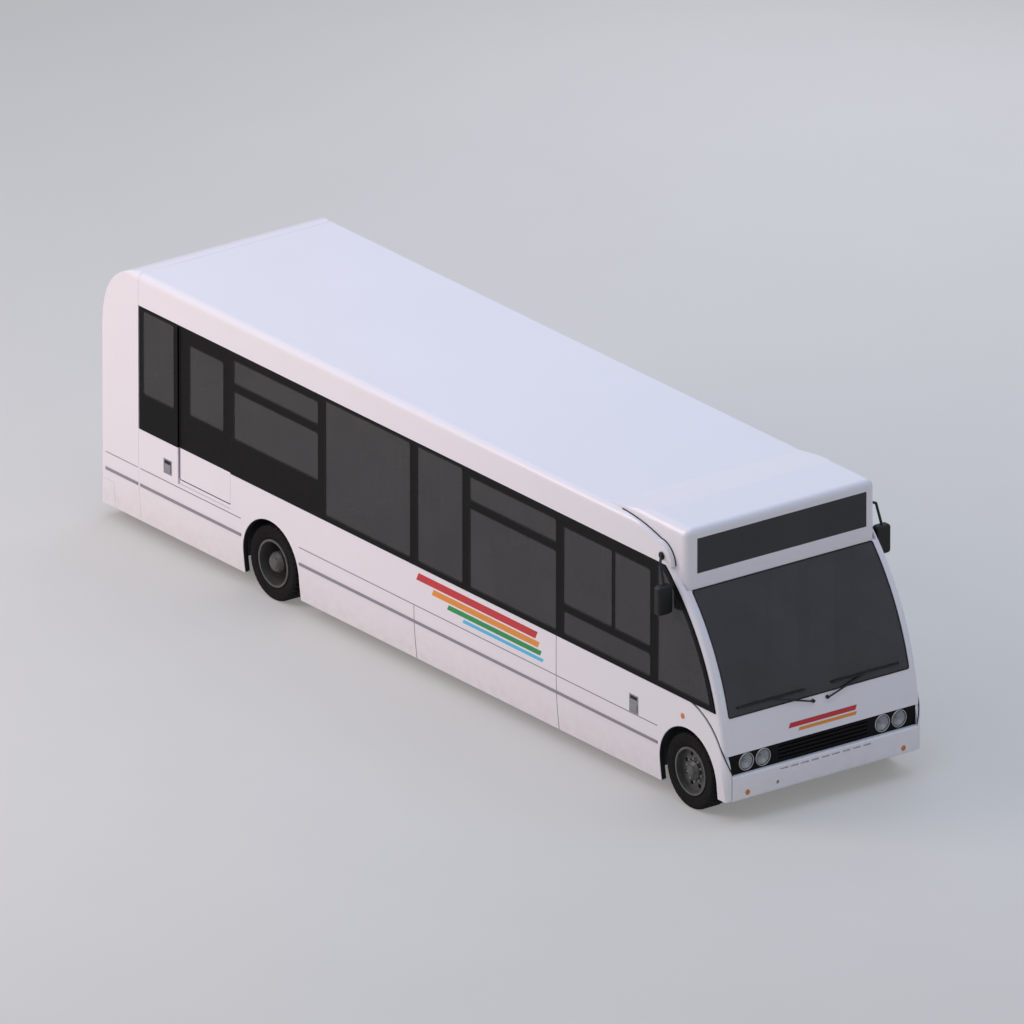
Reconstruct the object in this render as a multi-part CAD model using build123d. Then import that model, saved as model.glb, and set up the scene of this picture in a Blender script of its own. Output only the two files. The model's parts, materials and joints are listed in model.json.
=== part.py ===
from build123d import *
import os
from math import atan2, cos, pi, sin, sqrt

os.makedirs("parts", exist_ok=True)

# Low-floor midibus. Millimetres, +X forward, +Y left, +Z up.
# The origin is on the ground under the middle of the body.

# Body
LENGTH = 10600.0
WIDTH = 2500.0
ROOF_Z = 2860.0
SKIRT_Z = 150.0
WALL = 60.0
WAIST_Z = 1172.0
BAND_TOP_Z = ROOF_Z - 343.0
SEAM = 3.0
SEAM_DEPTH = 6.0
CANT_R = 75.0
CORNER_R = 120.0
LEAST_R = 15.0
REAR_LEAN_Z = 1300.0
REAR_CROWN_R = 586.0
REAR_CROWN_DEPTH = 693.0
PROFILE_SPARE = 2.0
TUCK = 40.0
TUCK_Z = 745.0
FRONT_X = LENGTH / 2
REAR_X = -LENGTH / 2
SIDE_Y = WIDTH / 2
INNER_Y = SIDE_Y - WALL

# Front: the front panel and the windscreen lie on one drum with its axis across the bus
DRUM_NOSE_X = FRONT_X - 36.0
DRUM_Z = 465.0
PILLAR_SETBACK = 911.0
PILLAR_RISE = BAND_TOP_Z + SEAM - DRUM_Z
PILLAR_TOP_X = DRUM_NOSE_X - PILLAR_SETBACK
DRUM_R = (PILLAR_SETBACK ** 2 + PILLAR_RISE ** 2) / (2 * PILLAR_SETBACK)
DRUM_X = DRUM_NOSE_X - DRUM_R
CELL_Y = SIDE_Y - 15.0
CELL_WALL = 50.0
CELL_EDGE_R = 60.0
PILLAR_DEPTH = 60.0
PANEL_BOTTOM_Z = 740.0
BUMPER_TOP_Z = 530.0
BUMPER_BOTTOM_Z = 255.0
WING_GAP = 10.0
WING_FOOT_R = 60.0
BUMPER_Y = 1165.0
BUMPER_DEPTH = 60.0
BUMPER_TOP_R = 25.0
BUMPER_FOOT_R = 35.0
GRILLE_RECESS = 50.0
SCREEN_BOTTOM_Z = 1120.0
SCREEN_TOP_Z = ROOF_Z - 560.0
SCREEN_Y = 1130.0
SCREEN_T = 12.0
WING_TOP_X = FRONT_X - 600.0
WING_MID = (FRONT_X - 200.0, 933.0)
WING_FRONT = (FRONT_X - 15.0, 546.0)

# Raised dome over the windscreen, with the destination glass in its face
DOME_Z = ROOF_Z + 95.0
DOME_WALL = 50.0
DOME_FACE_X = PILLAR_TOP_X + 214.0
DOME_CREST_X = DOME_FACE_X - 667.0
DOME_REAR_X = DOME_FACE_X - 1267.0
DOME_NOSE_R = 70.0
DOME_CORNER_R = 100.0
SIGN_Y = 1063.0
SIGN_Z = (ROOF_Z - 393.0, ROOF_Z - 15.0)
SWOOSH = ((PILLAR_TOP_X - 853.0, ROOF_Z), (PILLAR_TOP_X - 503.0, ROOF_Z - 38.0),
          (PILLAR_TOP_X - 203.0, ROOF_Z - 115.0), (PILLAR_TOP_X - 23.0, ROOF_Z - 200.0),
          (PILLAR_TOP_X + 32.0, BAND_TOP_Z))

# Windows
GLASS_T = 8.0
GLASS_INSET = 3.0
GLASS_FIT = 0.2
PANE_R = 30.0
PILLAR_HALF = 60.0
BAND_REAR_X = REAR_X + 720.0
EXIT_REAR_X = REAR_X + 1370.0
EXIT_FRONT_X = REAR_X + 2270.0
BAY_REAR_X = REAR_X + 3825.0
BAY_FRONT_X = FRONT_X - 2770.0
CAB_FRONT_X = PILLAR_TOP_X - 253.0
BAY_SHARES = (1555.0, 880.0, 1570.0)
CAB_DIVIDER_X = CAB_FRONT_X - 680.0
PANE_SILL_Z = 1235.0
PANE_TOP_Z = ROOF_Z - 380.0
HIGH_SILL_SHARE = 0.273
PANE_HIGH_SILL_Z = PANE_SILL_Z + HIGH_SILL_SHARE * (PANE_TOP_Z - PANE_SILL_Z)
HOPPER_Z = (ROOF_Z - 680.0, ROOF_Z - 430.0)
HOPPER_MAIN_TOP_Z = ROOF_Z - 770.0
CAB_UPPER_Z = (1560.0, ROOF_Z - 470.0)
CAB_LOWER_TOP_Z = 1480.0
QUARTER_FRAME = 60.0
REAR_PANE_Y = 960.0
REAR_PANE_REACH = 250.0
REAR_PANE_Z = (1500.0, ROOF_Z - 530.0)

# Wheels and axles
BOX_HALF = 500.0
BOX_FRONT_ROOM = 150.0
FRONT_AXLE_X = FRONT_X - BOX_FRONT_ROOM - BOX_HALF
REAR_AXLE_X = REAR_X + 2940.0
TYRE_R = 400.0
TYRE_WIDTH = 245.0
TYRE_OUTER_Y = 1215.0
SHOULDER_R = 38.0
RIM_R = 252.0
RIM_WALL = 22.0
TWIN_GAP = 40.0
ARCH_R = 475.0
KINGPIN_Y = 985.0
KINGPIN_R = 25.0
STUB_R = 45.0
SPINDLE_R = 50.0
RUN_FIT = 0.05
HUB_R = 95.0
HUB_SLOPE = 25.0
REAR_HUB_SLOPE = 40.0
DISC_T = 15.0
DISC_SET = 35.0
HAND_HOLES = 8
HAND_HOLE_R = 24.0
HAND_HOLE_RING = 168.0
STEER_ARM = -120.0
ROD_R = 14.0

# Floor levels
FLOOR_T = 40.0
LOW_FLOOR_Z = 330.0
CAB_FLOOR_Z = 600.0
REAR_FLOOR_Z = 750.0
ENGINE_DECK_Z = 1100.0
STEP_X = BAY_REAR_X - 75.0
DECK_X = EXIT_REAR_X - 60.0
BOX_INNER_Y = 640.0
BOX_TOP_Z = 905.0
BOX_T = 20.0
CAB_LENGTH = 900.0
CAB_REAR_X = FRONT_AXLE_X - BOX_HALF - CAB_LENGTH
CAB_INNER_Y = 360.0

# Chassis
RAIL_Y = (400.0, 470.0)
RAIL_LOW_Z = (190.0, LOW_FLOOR_Z - FLOOR_T)
RAIL_FRONT_Z = (470.0, CAB_FLOOR_Z - FLOOR_T)
RAIL_REAR_Z = (570.0, REAR_FLOOR_Z - FLOOR_T)

# Entrance door on the left: two leaves on arms, gliding inward
DOORWAY_X = (CAB_FRONT_X - 1380.0, CAB_FRONT_X - 140.0)
DOORWAY_Z = (LOW_FLOOR_Z, ROOF_Z - 460.0)
LEAF_T = 40.0
LEAF_Y = SIDE_Y - 45.0
POST_INSET = 35.0
LEAF_EDGE = 25.0
LEAF_GAP = 10.0
ARM_T = 16.0
ARM_FIT = 6.0
PIN_R = 10.0
PIN_END_ROOM = 2.0

# Emergency door at the right rear, hinged at its front edge
EXIT_Z = (780.0, ROOF_Z - 360.0)
EXIT_GAP = 5.0
EXIT_RECESS = 20.0
EXIT_SPLIT_Z = WAIST_Z
EXIT_PANE_MARGIN = (180.0, 140.0)
EXIT_PANE_Z = (1580.0, ROOF_Z - 520.0)

# Engine cover in the rear wall, hinged along its top
COVER_Y = 900.0
COVER_Z = (450.0, 1250.0)
COVER_T = 40.0
COVER_GAP = 6.0
COVER_TOP_GAP = 12.0
COVER_PIN_R = 8.0
COVER_PIN_INSET = 15.0
COVER_PIN_REACH = 14.0
COVER_PIN_ROOT = 60.0

# Lamps
HEADLAMP_R = 85.0
HEADLAMP_Y = (960.0, 750.0)
HEADLAMP_Z = 640.0
HEADLAMP_DEPTH = 40.0
HEADLAMP_PROUD = 8.0
HEADLAMP_EDGE_R = 20.0
FRONT_MARKER = (980.0, 330.0, 30.0)
MARKER_DEPTH = 30.0

# Socket for a towing pin in the front bumper: place across, height, radius and depth
TOW_SOCKET = (-600.0, 350.0, 20.0, 50.0)
REPEATER_X = FRONT_X - 720.0
REPEATER_Z = 985.0
REPEATER_R = 28.0
REPEATER_DEPTH = 8.0
REPEATER_PROUD = 6.0
TAIL_LAMP_Y = 1075.0
TAIL_LAMP_R = 50.0
TAIL_LAMP_DEPTH = 30.0
LAMP_FIT = 0.3

# Side trim
RUB_Z = (550.0, 580.0)
LINE_Z = (740.0, 750.0)
RUB_PROUD = 5.0
LINE_PROUD = 2.0
RUB_GROOVE = 10.0
PANEL_SEAMS = ((80.0, SKIRT_Z, TUCK_Z), (BAY_FRONT_X - 60.0, SKIRT_Z, WAIST_Z))

# How far a cutting form reaches past what it cuts
REACH = 100.0

nodes = {}


def block(x, y, z):
    """A block between the two values given for each axis."""
    size = Box(x[1] - x[0], y[1] - y[0], z[1] - z[0])
    return Pos((x[0] + x[1]) / 2, (y[0] + y[1]) / 2, (z[0] + z[1]) / 2) * size


def wire_of(steps, place):
    """A closed wire: a step is a corner, or a pair of points for an arc through the first to the second."""
    edges = []
    at = steps[0]
    for step in steps[1:]:
        if isinstance(step[0], tuple):
            edges.append(ThreePointArc(place(at), place(step[0]), place(step[1])))
            at = step[1]
        elif step != at:
            edges.append(Line(place(at), place(step)))
            at = step
    if at != steps[0]:
        edges.append(Line(place(at), place(steps[0])))
    return Wire(edges)


def side_prism(steps, y):
    """An outline in X and Z, carried across from the first Y to the second."""
    wire = wire_of(steps, lambda p: (p[0], y[0], p[1]))
    return extrude(Face(wire), amount=y[1] - y[0], dir=(0, 1, 0))


def end_prism(steps, x):
    """An outline in Y and Z, carried forward from the first X to the second."""
    wire = wire_of(steps, lambda p: (x[0], p[0], p[1]))
    return extrude(Face(wire), amount=x[1] - x[0], dir=(1, 0, 0))


def plan_prism(steps, z):
    """An outline in X and Y, carried up from the first Z to the second."""
    wire = wire_of(steps, lambda p: (p[0], p[1], z[0]))
    return extrude(Face(wire), amount=z[1] - z[0], dir=(0, 0, 1))


def rod(start, end, radius):
    """A round bar between two points."""
    run = Vector(*end) - Vector(*start)
    place = Plane(origin=start, z_dir=run)
    return place * Cylinder(radius, run.length, align=(Align.CENTER, Align.CENTER, Align.MIN))


def turned(steps, x, z):
    """An outline in radius and Y, turned about the cross axis through X and Z."""
    wire = wire_of(steps, lambda p: (x + p[0], p[1], z))
    return revolve(Face(wire), Axis((x, 0, z), (0, 1, 0)))


def drum(radius, half_width):
    """The drum that the front panel and windscreen lie on."""
    return Pos(DRUM_X, 0, DRUM_Z) * Rot(90, 0, 0) * Cylinder(radius, 2 * half_width)


def other_side(shape):
    """The same shape on the other side of the bus."""
    return mirror(shape, about=Plane.XZ)


def rounded_pane(x, y, z, radius):
    """A block whose corners are rounded as seen from the side."""
    pane = block(x, y, z)
    return fillet(pane.edges().filter_by(Axis.Y), radius)


def store(name, *shapes):
    """Keep the solids of the given shapes as one named piece."""
    solids = []
    for shape in shapes:
        solids.extend(shape.solids())
    nodes[name] = solids


# Body envelope
# The rear wall leans forward on a wide arc that runs into the tighter arc of the roof's rear end
crown_x = REAR_X + REAR_CROWN_DEPTH
crown_z = ROOF_Z - REAR_CROWN_R
crown_rise = crown_z - REAR_LEAN_Z
REAR_LEAN_R = ((REAR_CROWN_DEPTH ** 2 + crown_rise ** 2 - REAR_CROWN_R ** 2)
               / (2 * (REAR_CROWN_DEPTH - REAR_CROWN_R)))
lean_x = REAR_X + REAR_LEAN_R


def rear_curve(inset):
    """Middle and end of the leaning arc, then of the crown's arc, drawn in by an inset."""
    lean = REAR_LEAN_R - inset
    crown = REAR_CROWN_R - inset
    meet = atan2(crown_rise, lean_x - crown_x)
    lean_mid = (lean_x - lean * cos(meet / 2), REAR_LEAN_Z + lean * sin(meet / 2))
    lean_end = (lean_x - lean * cos(meet), REAR_LEAN_Z + lean * sin(meet))
    middle = (meet + pi / 2) / 2
    crown_mid = (crown_x - crown * cos(middle), crown_z + crown * sin(middle))
    return lean_mid, lean_end, crown_mid, (crown_x, crown_z + crown)


def rear_inside(z):
    """Where the inner face of the rear wall is at a height above the start of its lean."""
    if z < crown_z:
        return lean_x - sqrt((REAR_LEAN_R - WALL) ** 2 - (z - REAR_LEAN_Z) ** 2)
    return crown_x - sqrt((REAR_CROWN_R - WALL) ** 2 - (z - crown_z) ** 2)


def rear_skin(depth):
    """Everything in front of the leaning rear wall, drawn in by a depth."""
    return Pos(lean_x, 0, REAR_LEAN_Z) * Rot(90, 0, 0) * Cylinder(REAR_LEAN_R - depth, 2 * SIDE_Y)


def hull(inset):
    """The body's form drawn in by an inset: its side section, side profile and plan met together."""
    half = SIDE_Y - inset
    top = ROOF_Z - inset
    cant = max(CANT_R - inset, LEAST_R)
    bottom = SKIRT_Z - inset
    middle_z = (TUCK_Z + SKIRT_Z) / 2
    turn = cant * (1 - sqrt(0.5))
    section = end_prism([
        (-half + TUCK, bottom), (-half + TUCK, SKIRT_Z),
        ((-half + TUCK / 4, middle_z), (-half, TUCK_Z)), (-half, top - cant),
        ((-half + turn, top - turn), (-half + cant, top)), (half - cant, top),
        ((half - turn, top - turn), (half, top - cant)), (half, TUCK_Z),
        ((half - TUCK / 4, middle_z), (half - TUCK, SKIRT_Z)), (half - TUCK, bottom)],
        (REAR_X - REACH, FRONT_X + REACH))
    rear = REAR_X + inset
    front = FRONT_X - inset
    lean_mid, lean_end, crown_mid, crown_end = rear_curve(inset - PROFILE_SPARE)
    profile = side_prism([
        (rear - PROFILE_SPARE, bottom - REACH), (rear - PROFILE_SPARE, REAR_LEAN_Z), (lean_mid, lean_end),
        (crown_mid, crown_end), (crown_end[0], top + REACH), (front + REACH, top + REACH),
        (front + REACH, bottom - REACH)],
        (-SIDE_Y - REACH, SIDE_Y + REACH))
    plan = block((rear, front), (-half, half), (bottom - REACH, top + REACH))
    plan = fillet(plan.edges().filter_by(Axis.Z), max(CORNER_R - inset, LEAST_R))
    return section & profile & plan


outer = hull(0)
inner = hull(WALL)
shell = outer - inner

# Zones in side view that the panels are split by
rear_seam_x = BAND_REAR_X - 20
wing_zone_steps = [
    (rear_seam_x + SEAM, 0), (rear_seam_x + SEAM, WAIST_Z), (WING_TOP_X, WAIST_Z),
    (WING_MID, WING_FRONT), (WING_FRONT[0], 0)]
roof_zone_steps = [
    (rear_seam_x + SEAM, BAND_TOP_Z + SEAM), (rear_seam_x + SEAM, ROOF_Z + REACH),
    (SWOOSH[0][0], ROOF_Z + REACH), SWOOSH[0], (SWOOSH[1], SWOOSH[2]),
    (SWOOSH[3], (SWOOSH[4][0], BAND_TOP_Z + SEAM))]
right_half = (-SIDE_Y - REACH, -SIDE_Y + 130)
right_corner = (-SIDE_Y - REACH, -BUMPER_Y - 5)


def arch_cut(axle_x, y):
    """A wheel arch: round above the axle and straight below it."""
    top = TYRE_R + ARCH_R
    return side_prism([
        (axle_x - ARCH_R, 0), (axle_x - ARCH_R, TYRE_R),
        ((axle_x, top), (axle_x + ARCH_R, TYRE_R)), (axle_x + ARCH_R, 0)], y)


def wing_foot_cut(y):
    """The room under the wing in front of the wheel, which ends as high as the bumper."""
    rear = FRONT_AXLE_X + ARCH_R - 1
    foot = block((rear, FRONT_X + REACH), y, (0, BUMPER_BOTTOM_Z))
    corner = block((FRONT_X - WING_FOOT_R, FRONT_X + REACH), y, (0, BUMPER_BOTTOM_Z + WING_FOOT_R))
    round_x = FRONT_X - WING_FOOT_R
    round_z = BUMPER_BOTTOM_Z + WING_FOOT_R
    corner -= rod((round_x, y[0], round_z), (round_x, y[1], round_z), WING_FOOT_R)
    return foot + corner


def band_height(z0, z1):
    """The whole width and length of the bus between two heights."""
    return block((REAR_X - REACH, FRONT_X + REACH), (-SIDE_Y - REACH, SIDE_Y + REACH), (z0, z1))


# Lower side panels, drawn for the right side
def trim_runs(side):
    """The runs of the rub rail and the line above it: start and end along the bus."""
    front_end = FRONT_AXLE_X - ARCH_R - 20
    runs = [(BAND_REAR_X + 10, REAR_AXLE_X - ARCH_R - 20), (REAR_AXLE_X + ARCH_R + 20, front_end)]
    if side == "left":
        runs[1] = (runs[1][0], DOORWAY_X[0] - 30)
    return runs


def rub_strips(side):
    """Rub rails and the thin line above, let into the right side face."""
    strips = []
    for start, end in trim_runs(side):
        strips.append(block((start, end), (-SIDE_Y - RUB_PROUD, -SIDE_Y + RUB_GROOVE), RUB_Z))
        strips.append(block((start, end), (-SIDE_Y - LINE_PROUD, -SIDE_Y + RUB_GROOVE), LINE_Z))
    return strips


# Flush handles on the right side: start and end along the bus, lower and upper edge
HANDLES = (
    (REAR_X + 1130.0, REAR_X + 1270.0, 830.0, 990.0),
    (FRONT_X - 1610.0, FRONT_X - 1460.0, LINE_Z[1] + SEAM, 950.0))
HANDLE_DEPTH = 12.0


def handle_plates():
    """Flush handle plates on the right side."""
    plates = []
    for x0, x1, z0, z1 in HANDLES:
        plates.append(block((x0, x1), (-SIDE_Y - LINE_PROUD, -SIDE_Y + HANDLE_DEPTH), (z0, z1)))
    return plates


def repeater(side_sign):
    """A small side lamp on the wing."""
    back = (REPEATER_X, side_sign * (SIDE_Y - REPEATER_DEPTH), REPEATER_Z)
    face = (REPEATER_X, side_sign * (SIDE_Y + REPEATER_PROUD), REPEATER_Z)
    return rod(back, face, REPEATER_R)


def lower_panels(side):
    """Side panels below the waist on the right, with arches, seams, rub rails and handle recesses."""
    zone = side_prism(wing_zone_steps, right_half)
    corner_x = FRONT_X - CORNER_R
    keep = block((REAR_X, corner_x), right_half, (0, WAIST_Z))
    keep += block((corner_x, FRONT_X), right_corner, (0, WAIST_Z))
    panel = shell & zone & keep
    for axle_x in (FRONT_AXLE_X, REAR_AXLE_X):
        panel -= arch_cut(axle_x, right_half)
    for seam_x, z0, z1 in PANEL_SEAMS:
        panel -= block((seam_x - SEAM / 2, seam_x + SEAM / 2), (-SIDE_Y - 1, -SIDE_Y + SEAM_DEPTH), (z0, z1))
    for strip in rub_strips(side):
        panel -= strip
    panel -= repeater(-1)
    panel -= wing_foot_cut(right_half)
    if side == "right":
        for plate in handle_plates():
            panel -= plate
        panel -= block((EXIT_REAR_X, EXIT_FRONT_X), right_half, (EXIT_Z[0], WAIST_Z + 1))
    else:
        panel -= block(DOORWAY_X, right_half, (DOORWAY_Z[0], WAIST_Z + 1))
    return panel


store("lower_panels_right", lower_panels("right"))
store("lower_panels_left", other_side(lower_panels("left")))
trim_right = rub_strips("right") + handle_plates()
trim_left = [other_side(strip) for strip in rub_strips("left")]
store("side_trim", *trim_right, *trim_left)


# Window bands
def bay_pillars():
    """Pillar centres of the middle bays, spread by their shares between the end pillars."""
    span = BAY_FRONT_X - BAY_REAR_X
    total = sum(BAY_SHARES)
    centres = [BAY_REAR_X]
    for share in BAY_SHARES:
        centres.append(centres[-1] + span * share / total)
    return centres


def side_panes(side):
    """Panes of one side: start and end along the bus, lower and upper edge."""
    half = PILLAR_HALF
    p3, p4, p5, p6 = bay_pillars()
    panes = [
        (BAND_REAR_X + half, EXIT_REAR_X - half, PANE_HIGH_SILL_Z, PANE_TOP_Z),
        (EXIT_FRONT_X + half, p3 - half, *HOPPER_Z),
        (EXIT_FRONT_X + half, p3 - half, PANE_HIGH_SILL_Z, HOPPER_MAIN_TOP_Z),
        (p3 + half, p4 - half, PANE_SILL_Z, PANE_TOP_Z),
        (p4 + half, p5 - half, PANE_SILL_Z, PANE_TOP_Z),
        (p5 + half, p6 - half, *HOPPER_Z),
        (p5 + half, p6 - half, PANE_SILL_Z, HOPPER_MAIN_TOP_Z)]
    if side == "right":
        panes += [
            (p6 + half, CAB_DIVIDER_X - half / 3, *CAB_UPPER_Z),
            (CAB_DIVIDER_X + half / 3, CAB_FRONT_X - half, *CAB_UPPER_Z),
            (p6 + half, CAB_FRONT_X - half, PANE_SILL_Z, CAB_LOWER_TOP_Z)]
    else:
        panes.append((EXIT_REAR_X + half, EXIT_FRONT_X - half, PANE_HIGH_SILL_Z, PANE_TOP_Z))
    return panes


def quarter_opening(y, fit):
    """The opening of the quarter glass on the right, following the windscreen pillar in front."""
    start = CAB_FRONT_X + PILLAR_HALF + fit
    window = block((start, FRONT_X), y, (PANE_SILL_Z + fit, PANE_TOP_Z - fit))
    return window & drum(DRUM_R - PILLAR_DEPTH - QUARTER_FRAME - fit, SIDE_Y + REACH)


def window_band(side):
    """The dark window band of the right side, with its panes cut."""
    zone = block((BAND_REAR_X, FRONT_X), right_half, (WAIST_Z + SEAM, BAND_TOP_Z))
    front_end = drum(DRUM_R - PILLAR_DEPTH - SEAM, SIDE_Y + REACH)
    front_end += block((REAR_X, DRUM_X), right_half, (WAIST_Z, BAND_TOP_Z + REACH))
    band = shell & zone & front_end
    for x0, x1, z0, z1 in side_panes(side):
        band -= rounded_pane((x0, x1), right_half, (z0, z1), PANE_R)
    band -= quarter_opening(right_half, 0)
    if side == "right":
        band -= block((EXIT_REAR_X, EXIT_FRONT_X), right_half, (WAIST_Z, EXIT_Z[1]))
    else:
        band -= block(DOORWAY_X, right_half, (WAIST_Z, DOORWAY_Z[1]))
    return band


def side_glass(side):
    """The panes of the right side, set just below the face of the band."""
    outer_y = -SIDE_Y + GLASS_INSET
    panes = []
    for x0, x1, z0, z1 in side_panes(side):
        x = (x0 + GLASS_FIT, x1 - GLASS_FIT)
        z = (z0 + GLASS_FIT, z1 - GLASS_FIT)
        panes.append(rounded_pane(x, (outer_y, outer_y + GLASS_T), z, PANE_R - GLASS_FIT))
    return panes


store("window_band_right", window_band("right"))
store("window_band_left", other_side(window_band("left")))
quarter = quarter_opening((-SIDE_Y + GLASS_INSET, -SIDE_Y + GLASS_INSET + GLASS_T), GLASS_FIT)
window_glass = side_glass("right") + [other_side(pane) for pane in side_glass("left")]
window_glass += [quarter, other_side(quarter)]


# Dome over the windscreen
def dome_form(inset, rear_reach, bottom_drop):
    """The dome's form drawn in by an inset; its rear and bottom may reach past to leave them open."""
    top = DOME_Z - inset
    face = DOME_FACE_X - inset
    nose = DOME_NOSE_R - min(inset, DOME_NOSE_R - 20)
    turn = nose * (1 - sqrt(0.5))
    low = BAND_TOP_Z + SEAM
    form = side_prism([
        (DOME_REAR_X - rear_reach, low - bottom_drop), (DOME_REAR_X - rear_reach, ROOF_Z - inset),
        (DOME_REAR_X, ROOF_Z - inset), (DOME_CREST_X, top), (face - nose, top),
        ((face - turn, top - turn), (face, top - nose)), (face, SCREEN_TOP_Z - bottom_drop),
        (PILLAR_TOP_X + 100, SCREEN_TOP_Z - bottom_drop), (PILLAR_TOP_X, low - bottom_drop)],
        (-INNER_Y + inset, INNER_Y - inset))
    corners = form.edges().filter_by(Axis.Z).group_by(Axis.X)[-1]
    return fillet(corners, DOME_CORNER_R - inset)


dome_outer = dome_form(0, 0.01, 0)
dome_inner = dome_form(DOME_WALL, 100, 100)
sign_opening = block((DOME_FACE_X - 2 * DOME_WALL, FRONT_X), (-SIGN_Y, SIGN_Y), SIGN_Z)
front_dome = dome_outer - dome_inner - sign_opening
store("front_dome", front_dome)
sign_x = DOME_FACE_X - GLASS_INSET
sign = block((sign_x - GLASS_T, sign_x), (-SIGN_Y + GLASS_FIT, SIGN_Y - GLASS_FIT),
             (SIGN_Z[0] + GLASS_FIT, SIGN_Z[1] - GLASS_FIT))
store("destination_glass", sign)

# Roof with the cant panels over the windows
roof = shell & side_prism(roof_zone_steps, (-SIDE_Y - REACH, SIDE_Y + REACH)) - dome_outer
store("roof_shell", roof)

# Front cell: front panel and windscreen pillars on the drum
cell_box = block((PILLAR_TOP_X - 200, FRONT_X), (-CELL_Y, CELL_Y), (PANEL_BOTTOM_Z, BAND_TOP_Z))
cell_outer = cell_box & drum(DRUM_R, CELL_Y + REACH)
arcs = cell_outer.edges().filter_by(GeomType.CIRCLE)
rounds = [edge for edge in arcs if abs(edge.center().Y) > CELL_Y - 1]
cell_outer = fillet(rounds, CELL_EDGE_R)
cell_side = CELL_Y - CELL_WALL
cell_inner = block((0, FRONT_X), (-cell_side, cell_side), (0, ROOF_Z)) & drum(DRUM_R - CELL_WALL, SIDE_Y)
cell = cell_outer - cell_inner
cell -= drum(DRUM_R - PILLAR_DEPTH, SIDE_Y + REACH) & band_height(WAIST_Z + SEAM, ROOF_Z)
wing_zone_wide = side_prism(
    [(0, 0), (0, WAIST_Z + SEAM), (WING_TOP_X + WING_GAP, WAIST_Z + SEAM),
     ((WING_MID[0] + WING_GAP, WING_MID[1] + WING_GAP), (WING_FRONT[0] + SEAM, WING_FRONT[1])),
     (WING_FRONT[0] + SEAM, 0)], (-SIDE_Y - REACH, -BUMPER_Y))
cell -= wing_zone_wide
cell -= other_side(wing_zone_wide)
cell -= block((0, WING_TOP_X + WING_GAP), (-SIDE_Y, SIDE_Y), (0, WAIST_Z + SEAM))
cell -= block((0, FRONT_X), (-INNER_Y, INNER_Y), (SCREEN_TOP_Z, ROOF_Z))
cell -= block((0, FRONT_X), (-SCREEN_Y, SCREEN_Y), (SCREEN_BOTTOM_Z, SCREEN_TOP_Z))
store("front_cell", cell)
screen_zone = block((DRUM_X, FRONT_X), (-SCREEN_Y + GLASS_FIT, SCREEN_Y - GLASS_FIT),
                    (SCREEN_BOTTOM_Z + GLASS_FIT, SCREEN_TOP_Z - GLASS_FIT))
store("windscreen", (drum(DRUM_R, SIDE_Y) - drum(DRUM_R - SCREEN_T, SIDE_Y)) & screen_zone)

# Wipers, parked along the foot of the windscreen
WIPER_PIVOT = (90.0, 1070.0)
WIPER_PIVOT_R = 18.0
WIPER_STAND = 26.0
WIPER_BLADE_Y = (170.0, 1010.0)
WIPER_BLADE_Z = (1190.0, 1212.0)
WIPER_BLADE_T = 14.0
WIPER_LIFT = 4.0
WIPER_ARM_R = 9.0


def drum_front(z):
    """Where the drum's face is at a height."""
    return DRUM_X + sqrt(DRUM_R ** 2 - (z - DRUM_Z) ** 2)


pivot_x = drum_front(WIPER_PIVOT[1])
blade_x = drum_front(WIPER_BLADE_Z[0]) + WIPER_LIFT
arm_start = (pivot_x + WIPER_STAND, WIPER_PIVOT[0], WIPER_PIVOT[1])
blade_middle = (WIPER_BLADE_Y[0] + WIPER_BLADE_Y[1]) / 2
arm_end = (blade_x + WIPER_BLADE_T, blade_middle, sum(WIPER_BLADE_Z) / 2)
wiper = block((blade_x, blade_x + WIPER_BLADE_T), WIPER_BLADE_Y, WIPER_BLADE_Z)
wiper += rod((pivot_x, WIPER_PIVOT[0], WIPER_PIVOT[1]), arm_start, WIPER_PIVOT_R)
wiper += rod(arm_start, arm_end, WIPER_ARM_R)
wiper += Pos(*arm_end) * Sphere(WIPER_ARM_R)
wiper -= drum(DRUM_R, SIDE_Y)
store("wipers", wiper, other_side(wiper))

# Grille strip with its lamps, and the front bumper
GRILLE_FACE_X = FRONT_X - GRILLE_RECESS
GRILLE_DEPTH = 60.0
FIN_PITCH = 42.0
FIN_GROOVE = 14.0
FIN_DEPTH = 20.0
FIN_Y = 560.0
grille_x = (GRILLE_FACE_X - GRILLE_DEPTH, GRILLE_FACE_X)
grille = block(grille_x, (-BUMPER_Y, BUMPER_Y), (BUMPER_TOP_Z, PANEL_BOTTOM_Z))
for step in (-1.5, -0.5, 0.5, 1.5):
    fin_z = HEADLAMP_Z + step * FIN_PITCH
    fin_z_span = (fin_z - FIN_GROOVE / 2, fin_z + FIN_GROOVE / 2)
    grille -= block((GRILLE_FACE_X - FIN_DEPTH, GRILLE_FACE_X), (-FIN_Y, FIN_Y), fin_z_span)
headlamps = []
for lamp_y in HEADLAMP_Y:
    for side_sign in (-1, 1):
        centre = side_sign * lamp_y
        back = (GRILLE_FACE_X - HEADLAMP_DEPTH, centre, HEADLAMP_Z)
        grille -= rod(back, (GRILLE_FACE_X + 1, centre, HEADLAMP_Z), HEADLAMP_R)
        lens = rod(back, (GRILLE_FACE_X + HEADLAMP_PROUD, centre, HEADLAMP_Z), HEADLAMP_R - LAMP_FIT)
        front_edge = lens.edges().group_by(Axis.X)[-1]
        headlamps.append(fillet(front_edge, HEADLAMP_EDGE_R))
store("grille_panel", grille)
store("headlamps", *headlamps)

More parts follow.
